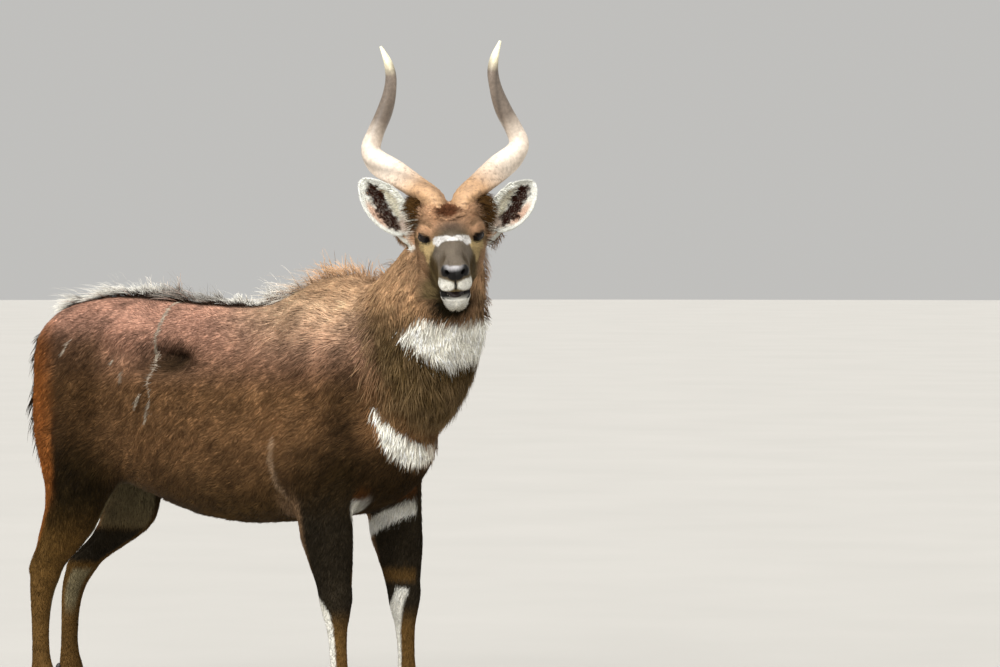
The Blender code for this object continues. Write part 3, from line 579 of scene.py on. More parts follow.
def stroke(points, line, widths, edge=0.4):
    """1 along a line through the given points and 0 further off than its half width there."""
    nearest = np.full(len(points), 1e9)
    for i, (a, b) in enumerate(zip(line[:-1], line[1:])):
        a, b = np.array(a), np.array(b)
        share = np.clip((points - a) @ (b - a) / ((b - a) @ (b - a)), 0, 1)
        off = np.linalg.norm(points - a - share[:, None] * (b - a), axis=1)
        nearest = np.minimum(nearest, off / (widths[i] + (widths[i + 1] - widths[i]) * share))
    return fall(1 - edge, 1 + edge, nearest)


class Parts:
    """Which part of the animal each point of the skin belongs to, as shares from 0 to 1."""

    def __init__(self, points):
        self.points = points
        self.both = points.copy()
        self.both[:, 1] = np.abs(points[:, 1])
        self.head_at = to_head(points)
        self.face_at = self.head_at.copy()
        self.face_at[:, 1] = np.abs(self.head_at[:, 1])
        x, y, z = self.x, self.y, self.z = points.T
        self.front, across, self.up = self.head_at.T
        self.hand = np.sign(across)
        near_head = rise(1.08, 1.14, z) * rise(0.38, 0.44, x)
        below = np.interp(self.up, (-0.165, -0.10, -0.03, 0.03, 0.30), (0.150, 0.118, 0.070, -0.01, -0.06))
        self.head = near_head * rise(-0.008, 0.016, self.front - below) * rise(-0.176, -0.160, self.up)
        self.ear = near_head * rise(0.082, 0.092, self.face_at[:, 1]) * self.by_ear()
        self.head = self.head * (1 - self.ear)
        hip = np.interp(x, (-0.80, -0.27), (0.80, 0.60))
        self.hind = fall(-0.05, 0.12, z - np.minimum(hip, 0.72)) * (x < -0.2)
        self.fore = fall(0.56, 0.70, z) * (x > 0.15)
        cut = np.interp(z, (0.70, 0.88, 1.25, 1.70), (0.678, 0.600, 0.440, 0.245))
        self.neck = rise(-0.07, 0.06, x - cut) * (1 - self.head - self.ear) * rise(0.66, 0.74, z)
        self.tail = fall(-0.708, -0.690, x) * (z > 0.76) * (np.abs(y) < 0.06)
        self.ahead = np.zeros(len(points))
        self.out = np.zeros(len(points))
        for leg in LEGS:
            side = 1 if leg.endswith("left") else -1
            here = (np.sign(y) == side) & ((x > -0.2) == leg.startswith("fore"))
            leg_x, leg_y = leg_line(leg, z)
            self.ahead = np.where(here, x - leg_x, self.ahead)
            self.out = np.where(here, side * (y - leg_y), self.out)
        self.inner = fall(-0.016, -0.002, self.out)
        self.fore *= fall(0.085, 0.110, np.hypot(self.ahead * 0.7, self.out))
        self.hind *= fall(0.150, 0.190, np.hypot(self.ahead * 0.8, self.out))

    def by_ear(self):
        """1 on and close to an ear's leaf or stalk."""
        close = np.zeros(len(self.points))
        for side in (-1, 1):
            along, over, deep = ear_place(self.points, side)
            half = np.interp(along, EAR_PROFILE_AT, EAR_PROFILE) * EAR_WIDTH / 2
            near = rise(-0.30, -0.20, along) * fall(1.12, 1.20, along)
            near *= fall(0.008, 0.014, np.abs(over) * half - half) * fall(0.030, 0.040, np.abs(deep))
            close = np.maximum(close, near * (self.hand == side))
        return close


def coat_depth(parts):
    """How deep the skin lies under the tips of the coat."""
    depth = 0.009 - 0.0055 * np.maximum(parts.hind, parts.fore) - 0.007 * (parts.head + parts.ear)
    depth -= 0.004 * parts.tail
    hoof = fall(0.04, 0.10, parts.z)
    return np.clip(depth * (1 - 0.6 * hoof), 0.0008, None)


def skin_mesh(voxel):
    """All the flesh fused into one smooth closed body, with its small forms, drawn in by the coat's depth."""
    pieces = [upright_tube(TRUNK, 64, 2.15), neck_tube(), tail_tube()]
    pieces += [leg_tube(*LEGS[leg]) for leg in LEGS] + muscle_pieces() + head_pieces(head_frame())
    body = make_object("skin", joined(pieces))
    fuse = body.modifiers.new("fuse", "REMESH")
    fuse.mode = "VOXEL"
    fuse.voxel_size = voxel
    settle = body.modifiers.new("settle", "SMOOTH")
    settle.factor = 0.5
    settle.iterations = round(12 * (0.0034 / voxel) ** 2)
    bake(body)
    points = read_array(body.data.vertices, "co", 3)
    parts = Parts(points)
    trunk = body.vertex_groups.new(name="trunk")
    settled = np.clip((1 - parts.head) * rise(0.50, 0.62, points[:, 2]) * (1 - parts.tail), 0, 1)
    for level in range(1, 11):
        chosen = np.nonzero(np.round(settled * 10) == level)[0]
        trunk.add([int(i) for i in chosen], level / 10, "REPLACE")
    blend = body.modifiers.new("blend the muscles", "SMOOTH")
    blend.factor = 0.5
    blend.iterations = round(120 * (0.0065 / voxel) ** 2)
    blend.vertex_group = "trunk"
    bake(body)
    points = shape_skin(body.data)
    body.data.vertices.foreach_set("co", points.astype(np.float32).ravel())
    body.data.update()
    return body


def bell(points, centre, radii):
    """1 at the centre, falling away smoothly over the radii."""
    return np.exp(-(((points - np.array(centre)) / np.array(radii)) ** 2).sum(axis=1))


def shape_skin(mesh):
    """The skin's points after its hollows, its small forms and the coat's depth."""
    points = read_array(mesh.vertices, "co", 3)
    normals = read_array(mesh.vertex_normals, "vector", 3)
    parts = Parts(points)
    for centre, radii, depth in HOLLOWS:
        points[:, 1] -= np.sign(points[:, 1]) * depth * bell(parts.both, centre, radii)
    raised = -coat_depth(parts)
    for centre, radii, by in BODY_FORMS:
        raised += by * bell(parts.both, centre, radii) * (1 - parts.head)
    for centre, radii, by in FACE_FORMS:
        raised += by * bell(parts.face_at, centre, radii)
    for leg, z, ahead, out, across, tall, by in LIMB_FORMS:
        here = (points[:, 0] > -0.2) == (leg == "fore")
        away = (((parts.ahead - ahead) ** 2 + (parts.out - out) ** 2) / across**2
                + ((points[:, 2] - z) / tall) ** 2)
        raised += by * np.exp(-away) * here
    return points + normals * raised[:, None]


def thin_skin(body, triangles):
    """Fewer triangles where the skin is plain, all of them kept on the head."""
    parts = Parts(read_array(body.data.vertices, "co", 3))
    kept = np.clip(parts.head + 0.5 * (parts.z < 0.16), 0, 1)
    plain = body.vertex_groups.new(name="plain")
    plain.add([int(i) for i in np.nonzero(kept < 0.5)[0]], 1.0, "REPLACE")
    plain.add([int(i) for i in np.nonzero(kept >= 0.5)[0]], 0.96, "REPLACE")
    thin = body.modifiers.new("thin", "DECIMATE")
    thin.ratio = min(1.0, triangles / (2 * len(body.data.polygons)))
    thin.vertex_group = "plain"
    thin.vertex_group_factor = 1.0
    thin.use_collapse_triangulate = True
    bake(body)


def ear_axes(side):
    """An ear's root, its line to the tip, the way across it and the way it faces."""
    root = face_to_world(*EAR_ROOT, side)
    axis = face_to_world(*EAR_TIPS[side], side) - root
    faces = head_turn() @ Vector((1, 0, 0))
    faces = (faces - axis * faces.dot(axis) / axis.length_squared).normalized()
    return root, axis, axis.normalized().cross(faces) * side, faces


def ear(side):
    """A cupped leaf of skin on a short stalk, as one closed bmesh."""
    root, axis, across, faces = ear_axes(side)
    bm = bmesh.new()
    bmesh.ops.create_grid(bm, x_segments=34, y_segments=22, size=1)
    for v in bm.verts:
        along, over = (v.co.x + 1) / 2, v.co.y
        half = np.interp(along, EAR_PROFILE_AT, EAR_PROFILE) * EAR_WIDTH / 2
        cup = EAR_CUP * (over * over) * half / (EAR_WIDTH / 2)
        fold = 0.004 * math.exp(-(((over + 0.35) / 0.12) ** 2)) * math.sin(math.pi * along)
        v.co = root + axis * along + across * over * half + faces * (cup + fold + EAR_BEND * along**2)
    leaf = make_object("ear", bm)
    wall = leaf.modifiers.new("thickness", "SOLIDIFY")
    wall.thickness = EAR_THICKNESS
    wall.offset = 0
    bake(leaf)
    rings = []
    for lateral, height, toward, half in smooth_rows(EAR_STALK, 4):
        point = face_to_world(lateral, height, toward, side)
        rings.append((point, across, faces, half, half * 0.8, half * 0.8))
    boolean(leaf, "UNION", tube(rings, 24))
    whole = bmesh.new()
    whole.from_mesh(leaf.data)
    bpy.data.objects.remove(leaf)
    return whole


def open_face(body):
    """Cuts the mouth, the eyes' openings and the nostrils, and joins on the ears."""
    place = head_frame()
    turned = place.to_3x3()
    cuts = [prism(MOUTH, -0.08, 0.08, place)]
    balls = []
    for side in (-1, 1):
        out = eye_out(side)
        cuts.append(ellipsoid(eye_centre(side) + out @ Vector((EYE_RADIUS, 0, 0)), LID_OPENING, out, 4))
        balls.append(ellipsoid(eye_centre(side), [EYE_RADIUS + 0.0006] * 3, None, 4))
        flare = turned @ Matrix.Rotation(side * math.radians(35), 3, "Z")
        flare = flare @ Matrix.Rotation(side * math.radians(-25), 3, "X")
        cuts.append(ellipsoid(place @ on_side(NOSTRIL_AT, side), NOSTRIL_RADII, flare, 4))
    boolean(body, "DIFFERENCE", joined(cuts))
    boolean(body, "DIFFERENCE", joined(balls))
    boolean(body, "UNION", joined([ear(-1), ear(1)]))


# Markings of the coat, with the light and shade painted into them, the same for the skin and for the hair

def layer_on(c, colours):
    """A function that lays the named tint over the colours c, by its share at each point."""

    def lay(name, share):
        c[:] = c + (np.array(getattr(colours, name)) - c) * np.clip(share, 0, 1)[:, None]

    return lay


def coat_colour(parts, colours):
    """The colour of the coat, or of the bare skin, at each point."""
    body, both, head, face = parts.points, parts.both, parts.head_at, parts.face_at
    x, y, z = body.T
    c = np.tile(np.array(colours.coat), (len(body), 1))
    lay = layer_on(c, colours)
    # Painted light: the back and the withers are laid lighter, partly for their paler hair and partly for the
    # light that falls on them from above.
    lay("back", rise(0.91, 1.13, z))
    lay("withers", patch(body, (0.30, 0.0, 1.20), (0.26, 0.30, 0.15), 0.7) * 0.9)
    lay("rump", rise(0.30, 0.42, -x) * fall(1.04, 1.14, z) * 0.8)
    # Painted shade: the belly is laid darker, partly for its darker hair and partly for the shade under the
    # body.
    lay("belly", fall(0.56, 0.80, z) * 0.8)
    # Painted shade: the hollow of the flank before the hip is laid near-black, on its lit lower slope too.
    lay("deep", patch(both[:, [0, 2]], (-0.145, 1.008), (0.085, 0.042), 0.7) * (both[:, 1] > 0.05) * 0.9)
    for centre, radii, edge, share in DEEP_PATCHES:
        lay("deep", patch(both, centre, radii, edge) * share)
    # Painted highlight: a thin line of the withers' light tint along the rear edge of the upper arm.
    painted_highlight_line = ((0.226, 0.80), (0.214, 0.74), (0.220, 0.68), (0.240, 0.64))
    rim = stroke(both[:, [0, 2]], painted_highlight_line, (0.007, 0.012, 0.012, 0.006), 0.6)
    lay("withers", rim * (both[:, 1] > 0.10) * 0.65)
    lay("orange", patch(both, (-0.66, 0.12, 0.82), (0.13, 0.15, 0.26), 0.4) * 0.9)
    lay("dark", fall(0.030, 0.056, both[:, 1]) * rise(1.10, 1.15, z) * fall(0.0, 0.25, x))
    lay("mane", parts.neck * 0.9)
    lay("mane_light", parts.neck * patch(body, (0.60, -0.16, 1.24), (0.16, 0.20, 0.12), 0.6))
    lay("warm", rise(1.13, 1.24, z) * rise(0.12, 0.24, x) * (1 - parts.head) * 0.8)
    lay("mane_dark", parts.neck * fall(1.02, 1.14, z) * 0.8)
    lay("mane_dark", parts.neck * patch(body, (0.50, -0.14, 1.06), (0.10, 0.14, 0.08), 0.7) * 0.7)
    lay("tail", parts.tail)
    along, over = (x + 0.95 * z) / 1.38, (0.95 * x - z) / 1.38
    ruffled = noise(np.stack([along / 0.075, over / 0.017, y / 0.06], 1), 1.0) * 0.22
    ruffled += noise(np.stack([along / 0.034, over / 0.010, y / 0.03], 1), 1.0) * 0.20
    ruffled += noise(body, 0.15) * 0.12
    c *= (1 + ruffled * (1 - parts.head) * (1 - parts.ear))[:, None]
    colour_limbs(parts, lay)
    lay("stripe", stripe_share(parts) * 0.8)
    lay("white", crescent_share(body))
    lay("white", bib_share(parts))
    # Painted shade: under the chin the beard's dark hair is laid together with the shade beneath the head.
    lay("throat", beard_and_shade_share(parts))
    colour_face(parts, lay)
    colour_ears(parts, lay)
    return c


# Near-black patches of both sides: centre, radii, softness of the edge, share
DEEP_PATCHES = (
    ((-0.47, 0.24, 0.62), (0.13, 0.18, 0.17), 0.6, 0.9),  # thigh
    ((0.36, 0.22, 0.69), (0.10, 0.20, 0.13), 0.6, 0.65),  # upper arm
    ((0.50, 0.12, 0.69), (0.16, 0.20, 0.10), 0.5, 0.8),  # breast
    ((0.43, 0.20, 0.90), (0.05, 0.14, 0.16), 0.6, 0.6),  # point of the shoulder
)
# Stripe and spots of the flanks, as lines of x and z with their half widths
STRIPES = (
    (((-0.232, 1.200), (-0.226, 1.170), (-0.211, 1.120), (-0.206, 1.080), (-0.202, 1.023), (-0.192, 0.965),
      (-0.184, 0.915)), (0.0034, 0.0034, 0.0032, 0.0028, 0.0026, 0.0022, 0.0016)),
    (((-0.184, 0.894), (-0.192, 0.866), (-0.200, 0.838)), (0.0032, 0.0050, 0.0022)),
    (((-0.224, 0.914), (-0.232, 0.898), (-0.238, 0.882)), (0.0036, 0.0052, 0.0030)),
    (((-0.300, 0.978), (-0.293, 0.958)), (0.0040, 0.0048)),
    (((-0.502, 1.060), (-0.518, 1.025)), (0.0018, 0.0024)),
    (((-0.336, 1.014), (-0.338, 1.004)), (0.0022, 0.0022)),
)
# White crescent of the chest: points of its line, half widths
CRESCENT = (
    ((0.508, -0.172, 0.900), (0.535, -0.150, 0.850), (0.552, -0.118, 0.800), (0.584, -0.070, 0.764),
     (0.611, -0.015, 0.752), (0.614, 0.035, 0.764), (0.604, 0.095, 0.804), (0.575, 0.130, 0.850)),
    (0.010, 0.018, 0.027, 0.033, 0.034, 0.032, 0.026, 0.014),
)
# Lower and upper edge of the throat bib across the neck, from -1 to 1
BIB = ((-0.95, -0.58, -0.2, 0.02, 0.55, 0.87, 1.0), (1.108, 1.066, 1.028, 1.020, 1.036, 1.086, 1.106),
       (1.104, 1.138, 1.136, 1.126, 1.136, 1.134, 1.130))
FACING = (0.530, -0.848)  # the way the head faces


def crescent_share(points):
    return stroke(points, *CRESCENT, 0.2)


def stripe_share(parts, wider=1.0):
    """The thin stripe and the spots of both flanks."""
    share = np.zeros(len(parts.points))
    for line, widths in STRIPES:
        share = np.maximum(share, stroke(parts.both[:, [0, 2]], line, [w * wider for w in widths]))
    return share * (parts.both[:, 1] > 0.03)


def across_neck(points):
    """Places across the front of the neck as the head faces, from -1 to 1 over the bib."""
    return (-FACING[1] * points[:, 0] + FACING[0] * points[:, 1] - 0.557) / 0.133


def bib_share(parts):
    """The white throat bib, a band round the front of the neck that hangs lowest in the middle."""
    x, y, z = parts.points.T
    across = across_neck(parts.points)
    front = FACING[0] * x + FACING[1] * y
    low, high = np.interp(across, BIB[0], BIB[1]), np.interp(across, BIB[0], BIB[2])
    band = rise(low - 0.008, low + 0.008, z) * fall(high - 0.008, high + 0.008, z)
    return band * rise(0.335, 0.365, front) * (np.abs(across) < 1.05) * parts.neck


def beard_and_shade_share(parts):
    """The dark hair right under the chin, and the painted shade beneath the head there."""
    return patch(parts.head_at, (0.165, 0.0, -0.185), (0.080, 0.070, 0.036), 0.35)


def colour_limbs(parts, lay):
    """Dark forearms and shins with their white bands, patches and pale inner sides."""
    z, ahead, inner = parts.z, parts.ahead, parts.inner
    fore, hind = parts.fore, parts.hind
    lay("leg_dark", fore * rise(0.24, 0.34, z))
    lay("leg", fore * fall(0.24, 0.34, z))
    lay("warm", fore * fall(-0.060, -0.035, ahead) * rise(0.40, 0.50, z) * 0.5)
    lay("orange", fore * inner * rise(0.62, 0.66, z) * 0.7)
    lean = z - 0.45 * ahead
    band = rise(0.544, 0.554, lean) * fall(0.586, 0.596, lean) * inner
    lay("white", fore * band)
    lay("leg", fore * rise(0.385, 0.405, z) * fall(0.420, 0.445, z) * inner * 0.7)
    foremost = np.interp(z, (0.12, 0.26, 0.33, 0.375, 0.40), (-0.006, 0.000, 0.018, 0.036, 0.020))
    rearmost = np.interp(z, (0.12, 0.28, 0.32, 0.36, 0.40), (-0.10, -0.10, -0.04, -0.004, 0.012))
    strip = rise(-0.004, 0.004, foremost - ahead) * rise(-0.004, 0.004, ahead - rearmost)
    strip *= rise(0.12, 0.16, z) * fall(0.372, 0.384, z)
    behind = fall(0.000, 0.008, ahead + 0.5 * rise(0.31, 0.38, z) * 0.09) * rise(0.12, 0.18, z)
    behind *= fall(0.345, 0.375, z)
    lay("white", fore * np.maximum(inner * strip, (1 - inner) * behind))
    lay("leg", hind * fall(0.45, 0.62, z))
    lay("orange", hind * fall(-0.075, -0.045, ahead) * rise(0.40, 0.50, z) * 0.7)
    lay("pale", hind * inner * rise(0.50, 0.53, z) * fall(0.62, 0.72, z) * 0.6)
    lay("leg_dark", hind * inner * rise(0.40, 0.42, z) * fall(0.50, 0.53, z))
    lay("pale", hind * inner * rise(0.24, 0.30, z) * fall(0.38, 0.40, z) * rise(-0.012, 0.004, ahead))
    hoof_top = fall(0.075, 0.090, z) * rise(0.055, 0.062, z)
    lay("white", np.maximum(fore, hind) * hoof_top * rise(0.012, 0.022, ahead) * 0.8)


def colour_face(parts, lay):
    """The face's marks, the dark bare nose, the lips and the lids."""
    f, face = parts.head_at, parts.face_at
    front, side, up = f.T
    lay("cheek", parts.head)
    lay("chestnut", parts.head * rise(-0.02, 0.02, up) * fall(0.15, 0.21, front))
    lay("dark", patch(face, (0.020, 0.085, 0.045), (0.055, 0.040, 0.050), 0.4) * parts.head * 0.7)
    lay("grey", parts.head * rise(0.19, 0.23, front) * rise(-0.045, -0.010, up))
    lay("grey_dark", patch(f, (0.180, 0.0, 0.045), (0.028, 0.044, 0.024), 0.8) * 0.7)
    # Painted shade: the sides of the nose bridge and the cheeks are laid darker, over the muzzle's own dark
    # brown.
    lay("cheek_dark", patch(face, (0.330, 0.040, 0.000), (0.040, 0.016, 0.016), 0.5) * 0.6)
    lay("cheek_dark", patch(face, (0.255, 0.050, -0.060), (0.075, 0.030, 0.034), 0.4) * parts.head * 0.8)
    lay("chestnut", patch(face, (0.130, 0.090, -0.070), (0.050, 0.030, 0.050), 0.5) * parts.head * 0.7)
    wedge = np.maximum(stroke(face[:, [0, 2]], ((0.136, -0.022), (0.198, -0.002)), (0.013, 0.015), 0.35),
                       stroke(face[:, [0, 2]], ((0.176, -0.020), (0.170, -0.050)), (0.024, 0.010), 0.35))
    lay("tan", wedge * parts.head * 0.95)
    brow = stroke(face, ((0.075, 0.086, 0.022), (0.120, 0.075, 0.036), (0.150, 0.056, 0.042)),
                  (0.013, 0.011, 0.008), 0.6)
    # Painted shade along the brows and the sides of the nose bone.
    lay("cheek_dark", brow * parts.head * 0.6)
    lay("cheek_dark", stroke(face, ((0.285, 0.031, 0.020), (0.345, 0.029, 0.010)), (0.006, 0.008), 0.7) * 0.6)
    chevron = np.maximum(stroke(face, ((0.198, 0.045, 0.014), (0.224, 0.034, 0.022)), (0.0105, 0.0150), 0.3),
                         stroke(face, ((0.228, 0.024, 0.029), (0.248, 0.0, 0.034)), (0.0125, 0.0100), 0.3))
    lay("chevron", chevron * (1.0 + 0.5 * noise(f, 0.012)))
    # Painted shade: the dark round each eye is partly its dark hair and partly the shade under the brow.
    lay("socket", patch(face, (0.152, 0.080, 0.006), (0.027, 0.034, 0.0155), 0.3) * parts.head)
    lay("whorl", patch(f, WHORL_AT, (0.036, 0.032, 0.02), 0.4) * 0.95)
    lay("white", patch(face, (0.386, 0.032, -0.048), (0.036, 0.030, 0.0165), 0.2)
            * (1 + 0.3 * noise(f, 0.010)))
    lay("white", patch(face, (0.300, 0.048, -0.088), (0.016, 0.02, 0.006), 0.3) * 0.8)
    lay("white", patch(f, (0.375, 0.0, -0.104), (0.034, 0.040, 0.024), 0.2))
    lay("white", rise(0.300, 0.318, front) * fall(-0.088, -0.084, up) * rise(-0.104, -0.098, up))
    # Painted shade: the lower part of the white chin is dulled with the inner legs' pale tint.
    lay("pale", patch(f, (0.375, 0.0, -0.124), (0.044, 0.036, 0.018), 0.6) * 0.35)
    # Painted shade along the underside of the jaw, over its dark hair.
    lay("throat", parts.head * fall(-0.150, -0.136, up) * fall(0.30, 0.34, front)
            * fall(0.030, 0.055, np.abs(side)))
    nose, lips, lids, inside = bare_shares(parts)
    lay("nose", np.maximum(nose, lids))
    # Painted reflection: a pale patch on top of the wet nose pad.
    lay("nose_top", nose * patch(f, (0.388, -0.004, 0.006), (0.024, 0.020, 0.012), 0.6) * 0.8)
    lay("nose", lips * 0.9)
    # Painted shade: the inside of the mouth is laid near-black.
    lay("mouth", inside)


def colour_ears(parts, lay):
    """Pale inside with a dark well and pinkish skin, white rim, brown back."""
    f = parts.head_at
    lay("chestnut", parts.ear * 0.8)
    for side in (-1, 1):
        along, over, deep = ear_place(parts.points, side)
        here = parts.ear * (parts.hand == side)
        inner = here * rise(-0.004, 0.002, deep)
        rim = np.maximum(rise(0.78, 0.90, np.abs(over)), rise(0.88, 0.95, along))
        lay("ear_rim", inner)
        flat = np.stack([along, over], 1)
        ragged = flat + np.stack([0.05 * noise(f, 0.020), 0.14 * noise(f + 2, 0.014)], 1)
        lay("ear_skin", inner * patch(flat, (0.46, 0.66), (0.24, 0.22), 0.4) * 0.8)
        lay("ear_skin", inner * patch(flat, (0.14, 0.0), (0.14, 0.50), 0.5) * 0.5)
        well = stroke(ragged, ((0.72, -0.36), (0.56, 0.04), (0.30, 0.44)), (0.22, 0.38, 0.22), 0.25)
        lay("ear_well", inner * well)
        lay("ear_rim", inner * stroke(ragged, ((0.50, -0.75), (0.34, -0.22)), (0.20, 0.13), 0.4))
        lay("ear_rim", here * rim)
        lay("chestnut", here * fall(-0.10, 0.0, along) * fall(0.4, 0.9, over))
        lay("cream", inner * stroke(flat, ((0.52, -0.62), (0.30, -0.20)), (0.16, 0.10), 0.5) * 0.7)


def ear_place(points, side):
    """Where points lie on an ear: share of its length, share across it, and how far in front of the leaf."""
    root, axis, across, faces = (np.array(v) for v in ear_axes(side))
    away = points - root
    along = away @ axis / (axis @ axis)
    half = np.interp(along, EAR_PROFILE_AT, EAR_PROFILE) * EAR_WIDTH / 2
    over = (away @ across) / half
    leaf = EAR_CUP * over**2 * half / (EAR_WIDTH / 2) + EAR_BEND * along**2
    return along, over, away @ faces - leaf


def bare_shares(parts):
    """Where the skin is bare: the nose pad, the lips, the lids, and the inside of mouth, nose and eyes."""
    f, face = parts.head_at, parts.face_at
    nose = patch(f, (0.404, 0.0, -0.012), (0.026, 0.027, 0.024), 0.12)
    nose = np.maximum(nose, patch(face, (0.390, 0.026, -0.008), (0.022, 0.018, 0.016), 0.15))
    nose = np.maximum(nose, patch(f, (0.404, 0.0, -0.045), (0.020, 0.0035, 0.020), 0.3))
    lips = fall(0.0035, 0.0060, np.abs(parts.up + 0.0765)) * rise(0.288, 0.300, parts.front)
    lids = patch(face, LID_AT, (0.0240, 0.0240, 0.0150), 0.15)
    within = np.interp(parts.front, (0.28, 0.335, 0.43), (0.0020, 0.0130, 0.0190))
    inside = fall(0.0, 0.001, np.abs(parts.up + 0.0790) - within) * rise(0.288, 0.298, parts.front)
    inside *= fall(0.374, 0.380, parts.front)
    return nose * parts.head, lips * parts.head, lids * parts.head, inside * parts.head


def bareness(parts):
    return np.clip(np.max(bare_shares(parts), axis=0), 0, 1)


def paint_points(mesh, colours_of_points, name="coat"):
    """Stores a colour for each vertex as a named attribute."""
    layer = mesh.attributes.new(name, "FLOAT_COLOR", "POINT")
    rgba = np.ones((len(colours_of_points), 4), np.float32)
    rgba[:, :3] = colours_of_points
    layer.data.foreach_set("color", rgba.ravel())


# Hair

def unit(rows):
    return rows / np.maximum(np.linalg.norm(rows, axis=1), 1e-9)[:, None]


def along_skin(way, normals):
    """The part of a way that runs along the skin, of length 1."""
    return unit(way - normals * (way * normals).sum(axis=1)[:, None])


def lie_of_coat(parts, normals):
    """The way the hair lies at each point, along the skin."""
    n = len(normals)
    lie = np.tile((-1.0, 0.0, -0.95), (n, 1))

    def turn_to(way, share):
        nonlocal lie
        lie = lie + (np.asarray(way, float) - lie) * np.clip(share, 0, 1)[:, None]

    turn_to((-1.0, 0.0, -0.30), rise(1.02, 1.16, parts.z) * (1 - parts.neck))
    turn_to((-0.35, 0.0, -1.0), parts.neck)
    turn_to((-0.10, 0.0, -1.0), np.maximum(parts.fore, parts.hind))
    turn_to((0.0, 0.0, -1.0), fall(-0.70, -0.62, parts.x))
    turned = np.array(head_frame().to_3x3())
    back = turned @ np.array((-1.0, 0.0, -0.10))
    out = turned[:, 1][None, :] * parts.hand[:, None]
    turn_to(back[None, :] + out * 0.25, parts.head)
    for side in (-1, 1):
        axis = np.array(ear_axes(side)[1])
        turn_to(axis / np.linalg.norm(axis), parts.ear * (parts.hand == side))
    return along_skin(lie, normals)


def skin_samples(mesh, density, chance):
    """Random places on the skin, as points, normals and places on its unwrap, by hairs per square metre."""
    mesh.calc_loop_triangles()
    corners = read_array(mesh.loop_triangles, "vertices", 3).astype(int)
    loops = read_array(mesh.loop_triangles, "loops", 3).astype(int)
    co = read_array(mesh.vertices, "co", 3)
    normals = read_array(mesh.vertex_normals, "vector", 3)
    uv = read_array(mesh.uv_layers["OFBake"].data, "uv", 2)
    a, b, c = co[corners[:, 0]], co[corners[:, 1]], co[corners[:, 2]]
    area = np.linalg.norm(np.cross(b - a, c - a), axis=1) / 2
    expected = np.cumsum(area * density((a + b + c) / 3))
    count = int(expected[-1])
    chosen = np.searchsorted(expected, (np.arange(count) + chance.random(count)) * expected[-1] / count)
    chosen = np.minimum(chosen, len(area) - 1)
    u, v = chance.random(count), chance.random(count)
    flip = u + v > 1
    u[flip], v[flip] = 1 - u[flip], 1 - v[flip]
    weights = np.stack([1 - u - v, u, v], axis=1)[:, :, None]
    points = (co[corners[chosen]] * weights).sum(axis=1)
    ups = unit((normals[corners[chosen]] * weights).sum(axis=1))
    places = (uv[loops[chosen]] * weights).sum(axis=1)
    return points, ups, places


# Rings of a tuft by their number: share of its length, share of its width
LOCK_SHARES = {
    1: ((0.0, 1.0),),
    2: ((-0.05, 0.85), (0.45, 1.0)),
    3: ((-0.05, 0.8), (0.35, 1.0), (0.72, 0.72)),
    4: ((-0.04, 0.7), (0.25, 1.0), (0.52, 0.9), (0.80, 0.55)),
}
SUNK = 0.0015  # how deep a tuft's foot goes under the skin
PATCH = 0.0030  # size of one tuft's place on the unwrap
MOST_TRIANGLES = 180_000  # in one piece of hair


def blades(roots, normals, lies, length, width, lift, droop, curl, rings):
    """Vertices of many thin three-sided tapered blades, ring by ring with the tip last, one row a blade."""
    across = np.cross(lies, normals)
    rows = []
    for share, wide in (*LOCK_SHARES[rings], (1.0, 0.0)):
        reach = max(share, 0.0)
        up = np.sin(lift) * reach * (1.25 - 0.55 * reach)
        centre = roots + lies * (np.cos(lift) * reach * length)[:, None] + normals * (up * length)[:, None]
        centre = centre + across * (curl * reach**2 * length)[:, None]
        centre[:, 2] -= droop * reach**2 * length
        if share < 0:
            centre = roots - normals * SUNK
        half = (width * wide / 2)[:, None]
        if wide:
            rows += [centre - across * half, centre + across * half, centre + normals * half * 0.7]
        else:
            rows.append(centre)
    return np.stack(rows, axis=1)


def blade_faces(rings):
    """Triangles of one blade, by vertex number."""
    faces = [(0, 2, 1)]
    for k in range(rings - 1):
        for i in range(3):
            a, b = 3 * k + i, 3 * k + (i + 1) % 3
            faces += [(a, b, b + 3), (a, b + 3, a + 3)]
    top = 3 * (rings - 1)
    faces += [(top + i, top + (i + 1) % 3, 3 * rings) for i in range(3)]
    return np.array(faces)


def hair_object(name, verts, rings, tints, places):
    """One mesh of many blades, with the colours root to tip and each blade's place on the skin's unwrap."""
    count, each = verts.shape[:2]
    faces = (blade_faces(rings)[None] + (np.arange(count) * each)[:, None, None]).reshape(-1, 3)
    mesh = bpy.data.meshes.new(name)
    mesh.vertices.add(count * each)
    mesh.vertices.foreach_set("co", verts.astype(np.float32).ravel())
    mesh.loops.add(faces.size)
    mesh.loops.foreach_set("vertex_index", faces.astype(np.int32).ravel())
    mesh.polygons.add(len(faces))
    mesh.polygons.foreach_set("loop_start", np.arange(0, faces.size, 3, dtype=np.int32))
    mesh.update(calc_edges=True)
    paint_points(mesh, tints.reshape(-1, 3))
    steps = [(i % 3 - 1, i // 3 / rings * 2 - 1 - 0.4 * (i % 3 == 1)) for i in range(each)]
    steps = np.array(steps) * PATCH / 2
    corner_uv = (places[:, None, :] + steps[None]).reshape(-1, 2)[faces.ravel()]
    mesh.uv_layers.new(name="OFBake").data.foreach_set("uv", corner_uv.astype(np.float32).ravel())
    return link(name, mesh)


LATTICE = np.random.default_rng(SEED).uniform(-1.6, 1.6, (32, 32, 32))


def noise(points, size):
    """Smooth random values around 0, mostly from -1 to 1, that change over about half that size."""
    at = points * (2 / size) + 640
    cell = np.floor(at).astype(int)
    t = at - cell
    t = t * t * (3 - 2 * t)
    value = np.zeros(len(points))
    for corner in np.ndindex(2, 2, 2):
        i, j, k = ((cell + corner) % 32).T
        value += LATTICE[i, j, k] * np.prod(np.where(corner, t, 1 - t), axis=1)
    return value


def at_roots(value, parts):
    """A value for each root, from one number or a function of Parts."""
    return value(parts) if callable(value) else np.full(len(parts.points), float(value))


